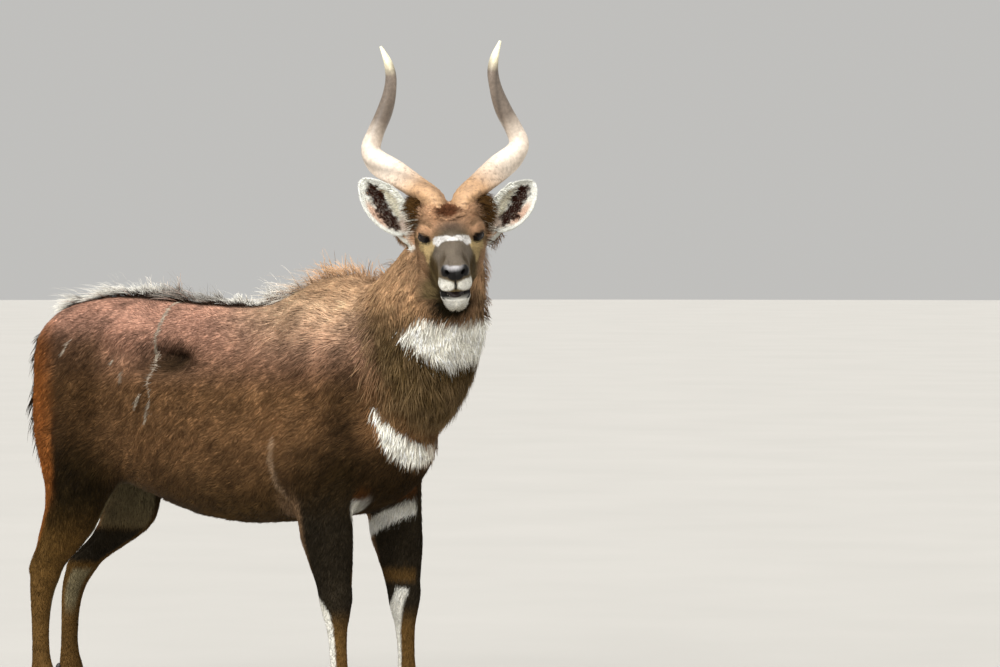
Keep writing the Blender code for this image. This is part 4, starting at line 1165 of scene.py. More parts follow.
def grow(name, skin, settings, density, length, width, lift, seed, rings=2, droop=0.0, frizz=0.12,
         tip=None, steer=None, slot="torso", tint=None, keep=None):
    """Grows one kind of hair over the skin, in as many objects as its triangles need.

    density is a function of Parts, and length, width and lift in degrees are numbers or functions of
    Parts; tip is a colour, the share it starts at and how much of it there is; tint takes the place of
    the coat's own colour; keep is the share of the roots that stay, for marks finer than the skin's faces.
    """
    chance = np.random.default_rng(seed)

    def wanted(points):
        parts = Parts(points)
        return density(parts) * fall(0.3, 0.6, bareness(parts))

    roots, normals, places = skin_samples(skin.data, wanted, chance)
    if keep:
        held = chance.random(len(roots)) < keep(Parts(roots))
        roots, normals, places = roots[held], normals[held], places[held]
    parts = Parts(roots)
    count = len(roots)
    long = at_roots(length, parts) * chance.uniform(0.75, 1.2, count)
    wide = at_roots(width, parts) * chance.uniform(0.75, 1.25, count)
    lies = lie_of_coat(parts, normals)
    if steer:
        lies = steer(parts, normals, lies)
    across = np.cross(lies, normals)
    sway = frizz * (chance.normal(0, 0.7, count) + 1.3 * noise(roots, 0.045) + 1.6 * noise(roots + 3, 0.17))
    lies = unit(lies + across * sway[:, None])
    lean = np.radians(at_roots(lift, parts)) * chance.uniform(0.65, 1.35, count)
    lean *= 1 + 0.45 * noise(roots + 7, 0.04)
    curl = chance.normal(0, 0.10, count)
    verts = blades(roots, normals, lies, long, wide, lean, droop, curl, rings)
    middle = roots + lies * (0.42 * long)[:, None] + chance.normal(0, 0.0016, (count, 3))
    base = coat_colour(Parts(middle), settings) if tint is None else np.tile(np.array(tint), (count, 1))
    mottle = 0.10 * noise(roots, 0.032) + 0.08 * noise(roots + 5, 0.11)
    base = base * (1 + 0.16 * np.clip(chance.normal(0, 1, count), -2, 2) + mottle)[:, None]
    shares = np.array([max(s, 0) for s, _ in LOCK_SHARES[rings] for _ in range(3)] + [1.0])
    # Painted shade and light: each blade is darker at its root and lighter at its tip, for the shade deep in
    # the coat and the light on its tips.
    painted_root_shade = 0.72 + 0.42 * shares if rings > 1 else 0.62 + 0.58 * shares
    tints = base[:, None, :] * painted_root_shade[None, :, None]
    if tip:
        tint, start, share_of = tip
        amount = np.clip(share_of(parts), 0, 1)
        reach = rise(start, min(start + 0.35, 1.0), shares)[None, :, None] * amount[:, None, None]
        tints = tints + (np.array(tint)[None, None, :3] - tints) * reach
    tints = np.clip(tints, 0, 1)
    order = np.argsort(roots[:, 0], kind="stable")
    groups = max(1, math.ceil(count / (MOST_TRIANGLES // len(blade_faces(rings)))))
    for i, chosen in enumerate(np.array_split(order, groups)):
        label = name if groups == 1 else f"{name}_{i + 1}"
        piece = hair_object(label, verts[chosen], rings, tints[chosen], places[chosen])
        piece.data.materials.append(hair_material())
        finish_piece(piece, slot)


# Materials

def add(tree, kind, links=(), **settings):
    """Adds a node with its settings, and links it: (socket in, socket it comes from)."""
    node = tree.nodes.new(kind)
    for key, value in settings.items():
        if key in node.inputs:
            node.inputs[key].default_value = value
        else:
            setattr(node, key, value)
    for into, source in links:
        tree.links.new(source, node.inputs[into])
    return node


def new_material(name, **constants):
    """A material of that name and its shader, with the constants on the shader's own sockets."""
    look = bpy.data.materials.new(name)
    look.use_nodes = True
    tree = look.node_tree
    shader = tree.nodes["Principled BSDF"]
    for key, value in constants.items():
        shader.inputs[key.replace("_", " ")].default_value = value
    return look, tree, shader


def varied(tree, base, where, size_mm, low, high, stretch=None):
    """The colour base made darker and lighter by a noise of that size."""
    if stretch:
        where = add(tree, "ShaderNodeMapping", [("Vector", where)], Scale=stretch).outputs["Vector"]
    spots = add(tree, "ShaderNodeTexNoise", [("Vector", where)], Scale=1000 / size_mm, Detail=3.0)
    share = add(tree, "ShaderNodeMapRange", [("Value", spots.outputs["Fac"])],
                **{"From Min": 0.3, "From Max": 0.7, "To Min": low, "To Max": high})
    tone = add(tree, "ShaderNodeVectorMath", [("Vector", base)], operation="SCALE")
    tree.links.new(share.outputs["Result"], tone.inputs["Scale"])
    return tone.outputs["Vector"]


def hair_material():
    """Guard hair of an antelope: dry, coarse keratin, with a dull sheen along each tuft."""
    if "antelope guard hair" in bpy.data.materials:
        return bpy.data.materials["antelope guard hair"]
    look, tree, shader = new_material("antelope guard hair", Roughness=0.68, IOR=1.55,
                                      Specular_IOR_Level=0.04)
    where = add(tree, "ShaderNodeTexCoord").outputs["Object"]
    coat = add(tree, "ShaderNodeAttribute", attribute_name="coat").outputs["Color"]
    tone = varied(tree, coat, where, 60, 0.86, 1.14)
    tone = varied(tree, tone, where, 3, 0.84, 1.14)
    tree.links.new(tone, shader.inputs["Base Color"])
    return look


def hide_material():
    """Haired hide under the guard hair: a fine fur nap, and bare pebbled skin on nose, lips and lids."""
    look, tree, shader = new_material("haired antelope hide", IOR=1.5, Specular_IOR_Level=0.12)
    where = add(tree, "ShaderNodeTexCoord").outputs["Object"]
    coat = add(tree, "ShaderNodeAttribute", attribute_name="coat").outputs["Color"]
    bare = add(tree, "ShaderNodeAttribute", attribute_name="bare").outputs["Fac"]
    tone = varied(tree, coat, where, 60, 0.78, 0.98)
    tone = varied(tree, tone, where, 4, 0.75, 1.05, (1.0, 1.0, 0.35))
    tree.links.new(tone, shader.inputs["Base Color"])
    rough = add(tree, "ShaderNodeMapRange", [("Value", bare)], **{"To Min": 0.80, "To Max": 0.38})
    tree.links.new(rough.outputs["Result"], shader.inputs["Roughness"])
    nap_at = add(tree, "ShaderNodeMapping", [("Vector", where)], Scale=(0.45, 1.0, 0.7)).outputs["Vector"]
    nap = add(tree, "ShaderNodeTexNoise", [("Vector", nap_at)], Scale=1000 / 2.5, Detail=2.0)
    pebbles = add(tree, "ShaderNodeTexVoronoi", [("Vector", where)], Scale=1000 / 2.2)
    height = add(tree, "ShaderNodeMix", [("Factor", bare), ("A", nap.outputs["Fac"]),
                                         ("B", pebbles.outputs["Distance"])])
    bump = add(tree, "ShaderNodeBump", [("Height", height.outputs["Result"])], Strength=0.5, Distance=0.0012)
    tree.links.new(bump.outputs["Normal"], shader.inputs["Normal"])
    return look


def horn_material(colours):
    """Horn sheath, grown in layers: bark-like and brown at the foot, worn smooth and pale higher up."""
    look, tree, shader = new_material("keratin horn sheath", IOR=1.54)
    where = add(tree, "ShaderNodeTexCoord").outputs["Object"]
    coat = add(tree, "ShaderNodeAttribute", attribute_name="coat").outputs["Color"]
    rough_foot = add(tree, "ShaderNodeAttribute", attribute_name="foot").outputs["Fac"]
    tone = varied(tree, coat, where, 9, 0.80, 1.12)
    tone = varied(tree, tone, where, 45, 0.88, 1.08)
    grooves = add(tree, "ShaderNodeTexNoise", [("Vector", where)], Scale=1000 / 11.0, Detail=5.0,
                  Roughness=0.6)
    cracks = add(tree, "ShaderNodeMapRange", [("Value", grooves.outputs["Fac"])],
                 **{"From Min": 0.36, "From Max": 0.48, "To Min": 0.62, "To Max": 1.0})
    eased = add(tree, "ShaderNodeMix", [("Factor", rough_foot), ("B", cracks.outputs["Result"])], A=1.0)
    toned = add(tree, "ShaderNodeVectorMath", [("Vector", tone)], operation="SCALE")
    tree.links.new(eased.outputs["Result"], toned.inputs["Scale"])
    tree.links.new(toned.outputs["Vector"], shader.inputs["Base Color"])
    gloss = add(tree, "ShaderNodeMapRange", [("Value", rough_foot)], **{"To Min": 0.38, "To Max": 0.68})
    tree.links.new(gloss.outputs["Result"], shader.inputs["Roughness"])
    depth = add(tree, "ShaderNodeMapRange", [("Value", rough_foot)], **{"To Min": 0.12, "To Max": 0.8})
    bump = add(tree, "ShaderNodeBump", [("Height", grooves.outputs["Fac"]),
                                        ("Strength", depth.outputs["Result"])], Distance=0.0025)
    tree.links.new(bump.outputs["Normal"], shader.inputs["Normal"])
    return look


def plain_material(name, code, size_mm, low, high, rough, coat=0.0, bump=0.0):
    """A varied natural surface of one colour, with an optional wet coat."""
    look, tree, shader = new_material(name, Roughness=rough, Coat_Weight=coat, Coat_Roughness=0.06)
    where = add(tree, "ShaderNodeTexCoord").outputs["Object"]
    base = add(tree, "ShaderNodeRGB")
    base.outputs[0].default_value = (*linear(code), 1)
    tree.links.new(varied(tree, base.outputs[0], where, size_mm, low, high), shader.inputs["Base Color"])
    if bump:
        grain = add(tree, "ShaderNodeTexNoise", [("Vector", where)], Scale=1000 / size_mm, Detail=3.0)
        lift = add(tree, "ShaderNodeBump", [("Height", grain.outputs["Fac"])], Strength=0.4, Distance=bump)
        tree.links.new(lift.outputs["Normal"], shader.inputs["Normal"])
    return look


def painted_material(name, rough, coat):
    """A smooth wet surface coloured by its own attribute."""
    look, tree, shader = new_material(name, Roughness=rough, Specular_IOR_Level=0.1, Coat_Weight=coat,
                                      Coat_IOR=1.376, Coat_Roughness=0.03)
    tint = add(tree, "ShaderNodeAttribute", attribute_name="coat").outputs["Color"]
    where = add(tree, "ShaderNodeTexCoord").outputs["Object"]
    tree.links.new(varied(tree, tint, where, 1.5, 0.8, 1.2), shader.inputs["Base Color"])
    return look


# Settings

def tint_of(label, text, code):
    """A colour property with its name, description and default."""
    return FloatVectorProperty(name=label, description=text, subtype="COLOR", size=3, min=0, max=1,
                               default=linear(code))


class NyalaColours(bpy.types.PropertyGroup):
    coat: tint_of("Coat", "Grey-brown of the flanks", "836141")
    # Partly painted light from above, as well as the back's paler hair.
    back: tint_of("Back", "Lighter, warmer hair along the back", "BC8F79")
    rump: tint_of("Rump", "Darker hair of the haunches", "4C361F")
    # Partly painted shade under the body, as well as the belly's darker hair.
    belly: tint_of("Belly", "Darker hair of the belly", "382C12")
    # Also laid as the painted shade in the hollow of the flank.
    deep: tint_of("Thighs", "Near-black brown of thighs, shoulder points and breast", "241B0B")
    white: tint_of("White marks", "Bib, crescent and face marks", "FBF7EA")
    stripe: tint_of("Stripe", "Thin stripe and spots of the flanks", "C2B5A2")
    dark: tint_of("Spine line", "Dark line along the spine", "33241A")
    orange: tint_of("Haunch edge", "Orange-tan hair behind the thighs", "B26B33")
    mane: tint_of("Mane", "Shaggy hair of the neck", "4E3A22")
    mane_light: tint_of("Upper neck", "Tan hair behind the cheeks", "A07C58")
    mane_tip: tint_of("Mane tips", "Pale tips of the long neck hair", "A88C66")
    mane_dark: tint_of("Lower mane", "Darker hair above the crescent", "47391F")
    warm: tint_of("Nape", "Warm tips of the withers and nape", "BC9672")
    # Partly painted light from above; also laid as the painted highlight along the upper arm's rear edge.
    withers: tint_of("Withers", "Long light hair over the withers and shoulders", "E0BE9A")
    tail: tint_of("Tail", "Dark hair of the tail", "2A1E12")
    leg: tint_of("Shins", "Brown of the lower legs", "6A4E27")
    leg_dark: tint_of("Forearms", "Near-black brown of the forearms", "2C251A")
    # Also laid as painted shade on the lower part of the chin.
    pale: tint_of("Inner legs", "Pale hair of the inner thighs and shins", "867A5C")
    cheek: tint_of("Cheeks", "Greyish brown of the cheeks", "6C5C3E")
    temple: tint_of("Temples", "Dark brown hair between horns and ears", "50381C")
    chevron: tint_of("Chevron", "White mark between the eyes", "F4F0EA")
    # Partly painted shade on the cheeks, brows and sides of the bridge, as well as the muzzle's dark brown.
    cheek_dark: tint_of("Muzzle sides", "Dark brown of the muzzle's sides", "46371F")
    chestnut: tint_of("Forehead", "Reddish brown of the forehead", "CAA07C")
    grey: tint_of("Bridge", "Greyish brown of the nose bridge", "786D5F")
    grey_dark: tint_of("Frown", "Dark grey hair between the eyes", "574C47")
    tan: tint_of("Tan", "Tan marks round the eyes", "CFB684")
    # Partly painted shade under the brow, as well as the dark hair round the eyes.
    socket: tint_of("Eye surround", "Dark hair round the eyes", "140B05")
    whorl: tint_of("Whorl", "Dark reddish tuft of the forehead", "5E3620")
    # Partly painted shade beneath the head, as well as the dark hair under the chin.
    throat: tint_of("Throat", "Dark hair under the chin", "1A1408")
    nose: tint_of("Nose", "Bare skin of the nose pad and lids", "1A1817")
    # A painted reflection of the light on the wet nose, not a colour of the skin.
    nose_top: tint_of("Nose sheen", "Paler top of the nose pad", "CCC8C8")
    # Painted shade inside the mouth and nostrils.
    mouth: tint_of("Mouth", "Inside of the mouth and nostrils", "0C0806")
    ear_rim: tint_of("Ear rim", "Short white hair of the ears' rims", "F3F2E6")
    cream: tint_of("Ear tuft", "Creamy tuft inside the ear", "D6CDB0")
    ear_well: tint_of("Ear well", "Dark hair deep in the ear", "2A1005")
    ear_skin: tint_of("Ear skin", "Thin pinkish skin of the ear", "D6A688")
    horn_foot: tint_of("Horn foot", "Bark-brown foot of the horn", "A88460")
    horn_middle: tint_of("Horn middle", "Worn pale middle of the horn", "DDCDBB")
    horn_upper: tint_of("Horn upper", "Grey upper part of the horn", "75685C")
    horn_tip: tint_of("Horn tip", "Ivory tip of the horn", "F0E6C4")


class NyalaSizes(bpy.types.PropertyGroup):
    voxel: FloatProperty(name="Skin detail", description="Grid that fuses the flesh", default=0.0034,
                         min=0.0025, max=0.02, unit="LENGTH")
    triangles: IntProperty(name="Skin triangles", description="Triangles of the finished skin",
                           default=172_000, min=20_000, max=195_000)
    body_hair: FloatProperty(name="Body hair", description="Length of the hair on the flanks", default=0.026,
                             min=0.01, max=0.06, unit="LENGTH")
    mane_hair: FloatProperty(name="Mane hair", description="Length of the hair on the neck", default=0.085,
                             min=0.03, max=0.12, unit="LENGTH")
    crest_hair: FloatProperty(name="Crest hair", description="Length of the hair along the spine",
                              default=0.086, min=0.03, max=0.12, unit="LENGTH")
    thickness: FloatProperty(name="Hair amount", description="Share of the full number of tufts",
                             default=1.0, min=0.05, max=1.2, subtype="FACTOR")


class NyalaStudio(bpy.types.PropertyGroup):
    floor: tint_of("Floor", "Plain pale floor", "ACA9A3")
    sky: tint_of("Surround", "Plain pale surround", "E4E3E0")
    surround_light: FloatProperty(name="Surround light", description="Light from all round", default=0.68,
                                  min=0, max=3)
    top_light: FloatProperty(name="Top light", description="Wide soft light overhead", default=3.6,
                             min=0, max=20)
    front_light: FloatProperty(name="Front light", description="Soft light beside the camera",
                               default=2.3, min=0, max=20)
    distance: FloatProperty(name="Camera distance", description="From the middle of the picture",
                            default=15.0, min=4, max=40, unit="LENGTH")
    azimuth: FloatProperty(name="Camera azimuth", description="Round from a side view", subtype="ANGLE",
                           default=math.radians(32))
    elevation: FloatProperty(name="Camera elevation", description="Above the horizon", subtype="ANGLE",
                             default=math.radians(1.5))
    per_pixel: FloatProperty(name="Metres a pixel", description="Scale of the picture at the animal",
                             default=0.00283, precision=5)


class MakeSkin(bpy.types.Operator):
    """One closed skin with its folds, openings and ears, in place of all the flesh"""

    bl_idname = "nyala.skin"
    bl_label = "Skin"

    def execute(self, context):
        sizes = context.scene.nyala_sizes
        skin = skin_mesh(sizes.voxel * (1))
        thin_skin(skin, sizes.triangles)
        open_face(skin)
        parts = Parts(read_array(skin.data.vertices, "co", 3))
        paint_points(skin.data, coat_colour(parts, context.scene.nyala_colours))
        bare = skin.data.attributes.new("bare", "FLOAT", "POINT")
        bare.data.foreach_set("value", bareness(parts).astype(np.float32))
        unwrap(skin)
        skin.data.materials.clear()
        skin.data.materials.append(hide_material())
        skin.data.shade_smooth()
        return {"FINISHED"}


def unwrap(obj):
    """Lays the skin's own shape out flat in islands, as the map OFBake."""
    obj.data.uv_layers.new(name="OFBake")
    bpy.context.view_layer.objects.active = obj
    bpy.ops.object.select_all(action="DESELECT")
    obj.select_set(True)
    bpy.ops.object.mode_set(mode="EDIT")
    bpy.ops.mesh.select_all(action="SELECT")
    bpy.ops.uv.smart_project(angle_limit=math.radians(66), island_margin=0.001)
    bpy.ops.object.mode_set(mode="OBJECT")


class GrowCoat(bpy.types.Operator):
    """Short tufts over the body, legs, head and ears, along the lie of the coat"""

    bl_idname = "nyala.coat"
    bl_label = "Short coat"

    def execute(self, context):
        skin = bpy.data.objects["skin"]
        colours, sizes = context.scene.nyala_colours, context.scene.nyala_sizes
        amount = sizes.thickness * 1

        def trunk(p):
            return np.clip(1 - p.head - p.ear - p.neck * 0.7 - np.maximum(p.fore, p.hind) - p.tail, 0, 1)

        def shaggy(p):
            return patch(p.points, (0.30, 0.0, 1.16), (0.20, 0.40, 0.16), 0.7)

        def along_stripe(p, normals, lies):
            return along_skin(np.tile((-0.15, 0.0, -1.0), (len(normals), 1)), normals)

        grow("body_hair", skin, colours, lambda p: 62_000 * amount * trunk(p),
             lambda p: sizes.body_hair * (1 - 0.20 * rise(1.0, 1.15, p.z) + 0.5 * shaggy(p)),
             0.0036, lambda p: 14 + 8 * shaggy(p), 101, frizz=0.18, rings=1)
        grow("flank_marks", skin, colours, lambda p: 330_000 * amount * stripe_share(p, 5.0), 0.011,
             0.0022, 34, 105, rings=1, tint=colours.stripe, steer=along_stripe, keep=stripe_share)
        grow("leg_hair", skin, colours,
             lambda p: 64_000 * amount * np.maximum(p.fore, p.hind) * rise(0.05, 0.07, p.z),
             lambda p: 0.010 + 0.014 * rise(0.25, 0.65, p.z),
             lambda p: 0.0020 + 0.0007 * rise(0.25, 0.65, p.z), 10, 102, rings=1, slot="foreleg")
        grow("face_hair", skin, colours, lambda p: 250_000 * amount * p.head,
             lambda p: 0.0040 + 0.016 * np.maximum(fall(0.08, 0.26, p.front),
                                                   fall(-0.13, -0.09, p.up)),
             lambda p: 0.0012 + 0.0010 * fall(0.06, 0.30, p.front),
             lambda p: 13 + 12 * fall(0.06, 0.20, p.front), 103, frizz=0.22,
             rings=1, slot="head")
        grow("ear_down", skin, colours, lambda p: 200_000 * amount * p.ear, 0.0050, 0.0015, 6, 104,
             rings=1, slot="ear")
        return {"FINISHED"}


class GrowLongHair(bpy.types.Operator):
    """The crest, nape, mane, bib, crescent, tail brush, forehead whorl and the hair of the ears"""

    bl_idname = "nyala.long_hair"
    bl_label = "Long hair"

    def execute(self, context):
        skin = bpy.data.objects["skin"]
        colours, sizes = context.scene.nyala_colours, context.scene.nyala_sizes
        amount = sizes.thickness * 1

        def crest(p):
            x, y, z = p.points.T
            path = np.interp(x, (0.43, 0.52, 0.575, 0.64), (0.0, 0.018, 0.034, 0.036))
            off_face = (1 - p.head - p.ear) * (x > -0.63)
            return fall(0.014, 0.030, np.abs(y - path)) * rise(1.10, 1.14, z) * off_face

        def crest_lift(p):
            return np.interp(p.x, (-0.6, -0.4, 0.0, 0.3, 0.45, 0.62), (30, 42, 42, 52, 56, 40))

        def crest_length(p):
            share = np.interp(p.x, (-0.62, -0.5, 0.0, 0.15, 0.3, 0.5, 0.62),
                              (0.62, 0.86, 0.70, 0.90, 1.05, 0.80, 0.34))
            return sizes.crest_hair * share * (1 + 0.5 * noise(p.points, 0.06))

        def whitened(p):
            white = np.interp(p.x, (-0.34, -0.24, -0.10, -0.04, 0.17, 0.25),
                              (1, 0.35, 0.35, 1, 1, 0))
            return white * (0.85 + 0.3 * noise(p.points, 0.02))

        def crest_density(p):
            return np.interp(p.x, (0.2, 0.4), (50_000, 24_000)) * amount * crest(p)

        grow("crest", skin, colours, crest_density, crest_length, 0.0022, crest_lift, 201, rings=4,
             droop=0.10, frizz=0.5, tip=(colours.white, 0.30, whitened))
        grow("crest_strands", skin, colours,
             lambda p: 0.12 * crest_density(p) * (p.x < 0.47), lambda p: 1.35 * crest_length(p),
             0.0014, lambda p: 1.25 * crest_lift(p), 207, rings=4, droop=0.04, frizz=0.7,
             tip=(colours.white, 0.2, whitened))

        def mane(p):
            return np.clip(p.neck - crest(p), 0, 1)

        def fan(p, normals, lies):
            return along_skin(lies * 0.5 - np.array(UP) * 0.5, normals)

        def mane_length(p):
            fore = p.front + 0.4 * p.up
            edge = 1 - 0.55 * rise(-0.02, 0.08, fore) * rise(1.15, 1.22, p.z)
            edge *= 1 - 0.50 * rise(0.0, 0.05, p.y) * rise(1.05, 1.15, p.z)
            edge *= 1 - 0.45 * rise(1.22, 1.30, p.z)
            low = 1 - 0.35 * fall(0.84, 0.96, p.z)
            return sizes.mane_hair * (0.50 + 0.50 * fall(0.98, 1.14, p.z)) * edge * low

        def bleached(p):
            return 0.35 + 0.35 * noise(p.points, 0.03) - bib_share(p) - beard_and_shade_share(p) * 2

        grow("mane", skin, colours, lambda p: 44_000 * amount * mane(p), mane_length, 0.0026, 10, 202,
             rings=3, droop=0.06, frizz=0.20, steer=fan, tip=(colours.mane_tip, 0.45, bleached), slot="neck")

        def spread(p, normals, lies):
            sideways = np.array((-FACING[1], FACING[0], 0.0)) * (0.75 * across_neck(p.points))[:, None]
            return along_skin(sideways - np.array(UP), normals)

        grow("throat_bib", skin, colours, lambda p: 60_000 * amount * bib_share(p), 0.046, 0.0032,
             lambda p: 10 + 26 * rise(0.55, 1.0, across_neck(p.points)), 209, rings=3, droop=0.04, frizz=0.14,
             steer=spread, slot="neck", tint=colours.white)
        grow("crescent", skin, colours, lambda p: 60_000 * amount * crescent_share(p.points + (0, 0, -0.012)),
             0.042, 0.0036, 18, 203, rings=3, droop=0.10, frizz=0.14, steer=fan)
        grow("tail_brush", skin, colours, lambda p: 60_000 * amount * p.tail,
             lambda p: 0.060 + 0.050 * fall(0.86, 1.04, p.z), 0.0036, 26, 204, rings=3,
             frizz=0.10, slot="tail")

        def whorl(p):
            return patch(p.head_at, WHORL_AT, (0.036, 0.034, 0.03), 0.3)

        def spin(p, normals, lies):
            away = along_skin(p.points - np.array(head_frame() @ Vector(WHORL_AT)), normals)
            return unit(away * 0.8 + np.cross(normals, away) * 0.5)

        grow("forehead_whorl", skin, colours, lambda p: 260_000 * amount * whorl(p), 0.022, 0.0022, 34, 205,
             rings=3, frizz=0.2, steer=spin, slot="head")

        def fringe(p):
            wanted = np.zeros(len(p.points))
            for side in (-1, 1):
                along, over, deep = ear_place(p.points, side)
                here = p.ear * (p.hand == side) * rise(-0.004, 0.001, deep)
                wanted += here * rise(0.40, 0.60, -over) * (along > 0.05) * (along < 0.72)
            return wanted

        def temple(p):
            hollow = patch(p.face_at, (0.016, 0.088, 0.016), (0.052, 0.045, 0.070), 0.4)
            return hollow * (1 - p.ear) * rise(1.345, 1.375, p.z)

        def outward(p, normals, lies):
            turned = np.array(head_frame().to_3x3())
            way = turned[:, 1][None] * p.hand[:, None] + turned[:, 2][None] * 0.25
            return unit(way + normals * 0.2 - turned[:, 0][None] * 0.3)

        grow("temple_tufts", skin, colours, lambda p: 190_000 * amount * temple(p), 0.036, 0.0024, 14, 208,
             rings=3, frizz=0.6, steer=outward, slot="head", droop=0.20, tint=colours.temple)

        def inward(p, normals, lies):
            way = lies.copy()
            for side in (-1, 1):
                _, over, _ = ear_place(p.points, side)
                across = np.array(ear_axes(side)[2])
                here = p.hand == side
                turned = lies * 0.7 - across[None] * np.sign(over)[:, None]
                way = np.where(here[:, None], turned, way)
            return along_skin(way, normals)

        grow("ear_fringe", skin, colours, lambda p: 130_000 * amount * fringe(p), 0.018, 0.0020, 14, 206,
             rings=3, frizz=0.15, steer=inward, slot="ear")
        return {"FINISHED"}


def horn(side, colours):
    """A lyre-shaped horn with a ridge that winds up it and wrinkles round its foot."""
    rows = smooth_rows(HORN, 16)
    points = [face_to_world(*row[:3], side) for row in rows]
    lengths = np.concatenate([[0], np.cumsum([(b - a).length for a, b in zip(points, points[1:])])])
    up, rings = UP, []
    for i, point in enumerate(points):
        along = (points[min(i + 1, len(points) - 1)] - points[max(i - 1, 0)]).normalized()
        up = (up - along * up.dot(along)).normalized()
        turn = Matrix.Rotation(side * HORN_TWIST * i / (len(points) - 1), 3, along)
        keel = turn @ up
        share = lengths[i] / lengths[-1]
        wrinkle = 0.030 * math.sin(lengths[i] * 2 * math.pi / 0.011 + 2 * math.sin(lengths[i] * 70))
        wrinkle *= max(0.0, 1 - share / 0.42)
        half = rows[i][3] / 2 * (0.97 + wrinkle)
        rings.append((point, along.cross(keel), keel, half * 0.94, half, half * 0.92))
    bm = tube(rings, 40, 1.9)
    turn_layer = bm.verts.layers.float["turn"]
    stages = (colours.horn_foot, colours.horn_middle, colours.horn_upper, colours.horn_tip)
    tints = np.repeat(np.array(stages), 2, axis=0)
    at = (0.0, 0.16, 0.36, 0.54, 0.66, 0.86, 0.94, 1.0)
    coat, foot = [], []
    for n, v in enumerate(bm.verts):
        i = min(n // 40, len(rings) - 1)
        share = lengths[i] / lengths[-1]
        ridge = math.exp(-((1 - math.sin(v[turn_layer])) / 0.16))
        v.co += rings[i][2] * rings[i][4] * HORN_KEEL * ridge * min(1.0, share / 0.08) * (1 - share**4)
        tint = np.array([np.interp(share, at, tints[:, k]) for k in range(3)])
        shadow = math.exp(-(((v[turn_layer] - 0.55) / 0.28) ** 2)) * fall(0.85, 0.95, share)
        coat.append(tint * (1 - 0.35 * shadow) * (1 + 0.25 * ridge))
        foot.append(fall(0.22, 0.46, share))
    made = make_object(f"horn_{HANDS[side]}_sheath", bm)
    paint_points(made.data, np.clip(np.array(coat), 0, 1))
    layer = made.data.attributes.new("foot", "FLOAT", "POINT")
    layer.data.foreach_set("value", np.array(foot, np.float32))
    return made


class MakeHorns(bpy.types.Operator):
    """Ridged, twisted horns with wrinkled feet and ivory tips"""

    bl_idname = "nyala.horns"
    bl_label = "Horns"

    def execute(self, context):
        look = horn_material(context.scene.nyala_colours)
        for side, hand in HANDS.items():
            made = horn(side, context.scene.nyala_colours)
            made.data.materials.append(look)
            finish_piece(made, "horn", f"horn_{hand}")
        return {"FINISHED"}


class MakeEyes(bpy.types.Operator):
    """Dark wet eyeballs with level pupils, and their bare lids"""

    bl_idname = "nyala.eyes"
    bl_label = "Eyes"

    def execute(self, context):
        # Cornea over a brown iris and a level pupil: near black, with one small sharp gleam
        wet = painted_material("wet dark-brown eye", 0.12, 0.55)
        # Hairless lid edge, kept moist: dark and softly shining, with fine creases
        rim = plain_material("bare moist eyelid", "0F0B0A", 2.0, 0.7, 1.2, 0.45, 0.1, 0.0006)
        for side, hand in HANDS.items():
            out = eye_out(side)
            ball = ellipsoid(Vector((0, 0, 0)), [EYE_RADIUS - 0.0004] * 3, None, 5)
            tints = []
            for v in ball.verts:
                across, up = v.co.y / 0.0085, v.co.z / 0.0085
                away = math.hypot(across, up) if v.co.x > 0 else 9.0
                v.co.x += 0.0012 * math.exp(-(away**2)) if v.co.x > 0 else 0.0
                pupil = 1 - float(rise(0.8, 1.15, math.hypot(across / 0.62, up / 0.34)))
                iris = 1 - float(rise(0.9, 1.1, away))
                tint = np.array(linear("140C08")) * (1 - iris) + np.array(linear("1E1008")) * iris
                tints.append(tint * (1 - pupil) + np.array(linear("050404")) * pupil)
            ball.transform(Matrix.Translation(eye_centre(side)) @ out.to_4x4())
            made = make_object(f"eyeball_{hand}", ball)
            paint_points(made.data, np.array(tints))
            made.data.materials.append(wet)
            finish_piece(made, "eye", f"eye_{hand}")
            lid = make_object(f"eyelid_{hand}", eyelid())
            lid.data.transform(Matrix.Translation(eye_centre(side)) @ out.to_4x4())
            lid.data.materials.append(rim)
            finish_piece(lid, "head")
        return {"FINISHED"}


def eyelid():
    """An almond ring of bare skin that lies on the eyeball, around its opening."""
    bm = bmesh.new()
    start = bmesh.ops.create_circle(bm, cap_ends=False, segments=12, radius=0.0019)["verts"]
    bmesh.ops.rotate(bm, verts=start, cent=(0, 0, 0), matrix=Matrix.Rotation(math.pi / 2, 3, "X"))
    bmesh.ops.translate(bm, verts=start, vec=(0.014, 0, 0))
    bmesh.ops.spin(bm, geom=bm.verts[:] + bm.edges[:], cent=(0, 0, 0), axis=(0, 0, 1), dvec=(0, 0, 0),
                   angle=2 * math.pi, steps=56, use_merge=True, use_duplicate=False)
    bmesh.ops.remove_doubles(bm, verts=bm.verts, dist=1e-6)
    for v in bm.verts:
        turn = math.atan2(v.co.y, v.co.x)
        spread = math.hypot(v.co.x, v.co.y) - 0.014
        wide = 0.0148 * math.cos(turn)
        tall = 0.0098 * math.sin(turn) * (1 - 0.25 * math.cos(turn) ** 2)
        wide += spread * math.cos(turn)
        tall += spread * math.sin(turn)
        deep = math.sqrt(max(0.0, (EYE_RADIUS + 0.0004) ** 2 - wide**2 - tall**2))
        v.co = Vector((deep + v.co.z, wide, tall))
    bmesh.ops.recalc_face_normals(bm, faces=bm.faces)
    list_by(bm.verts, lambda v: v.co[:])
    return in_order(bm)


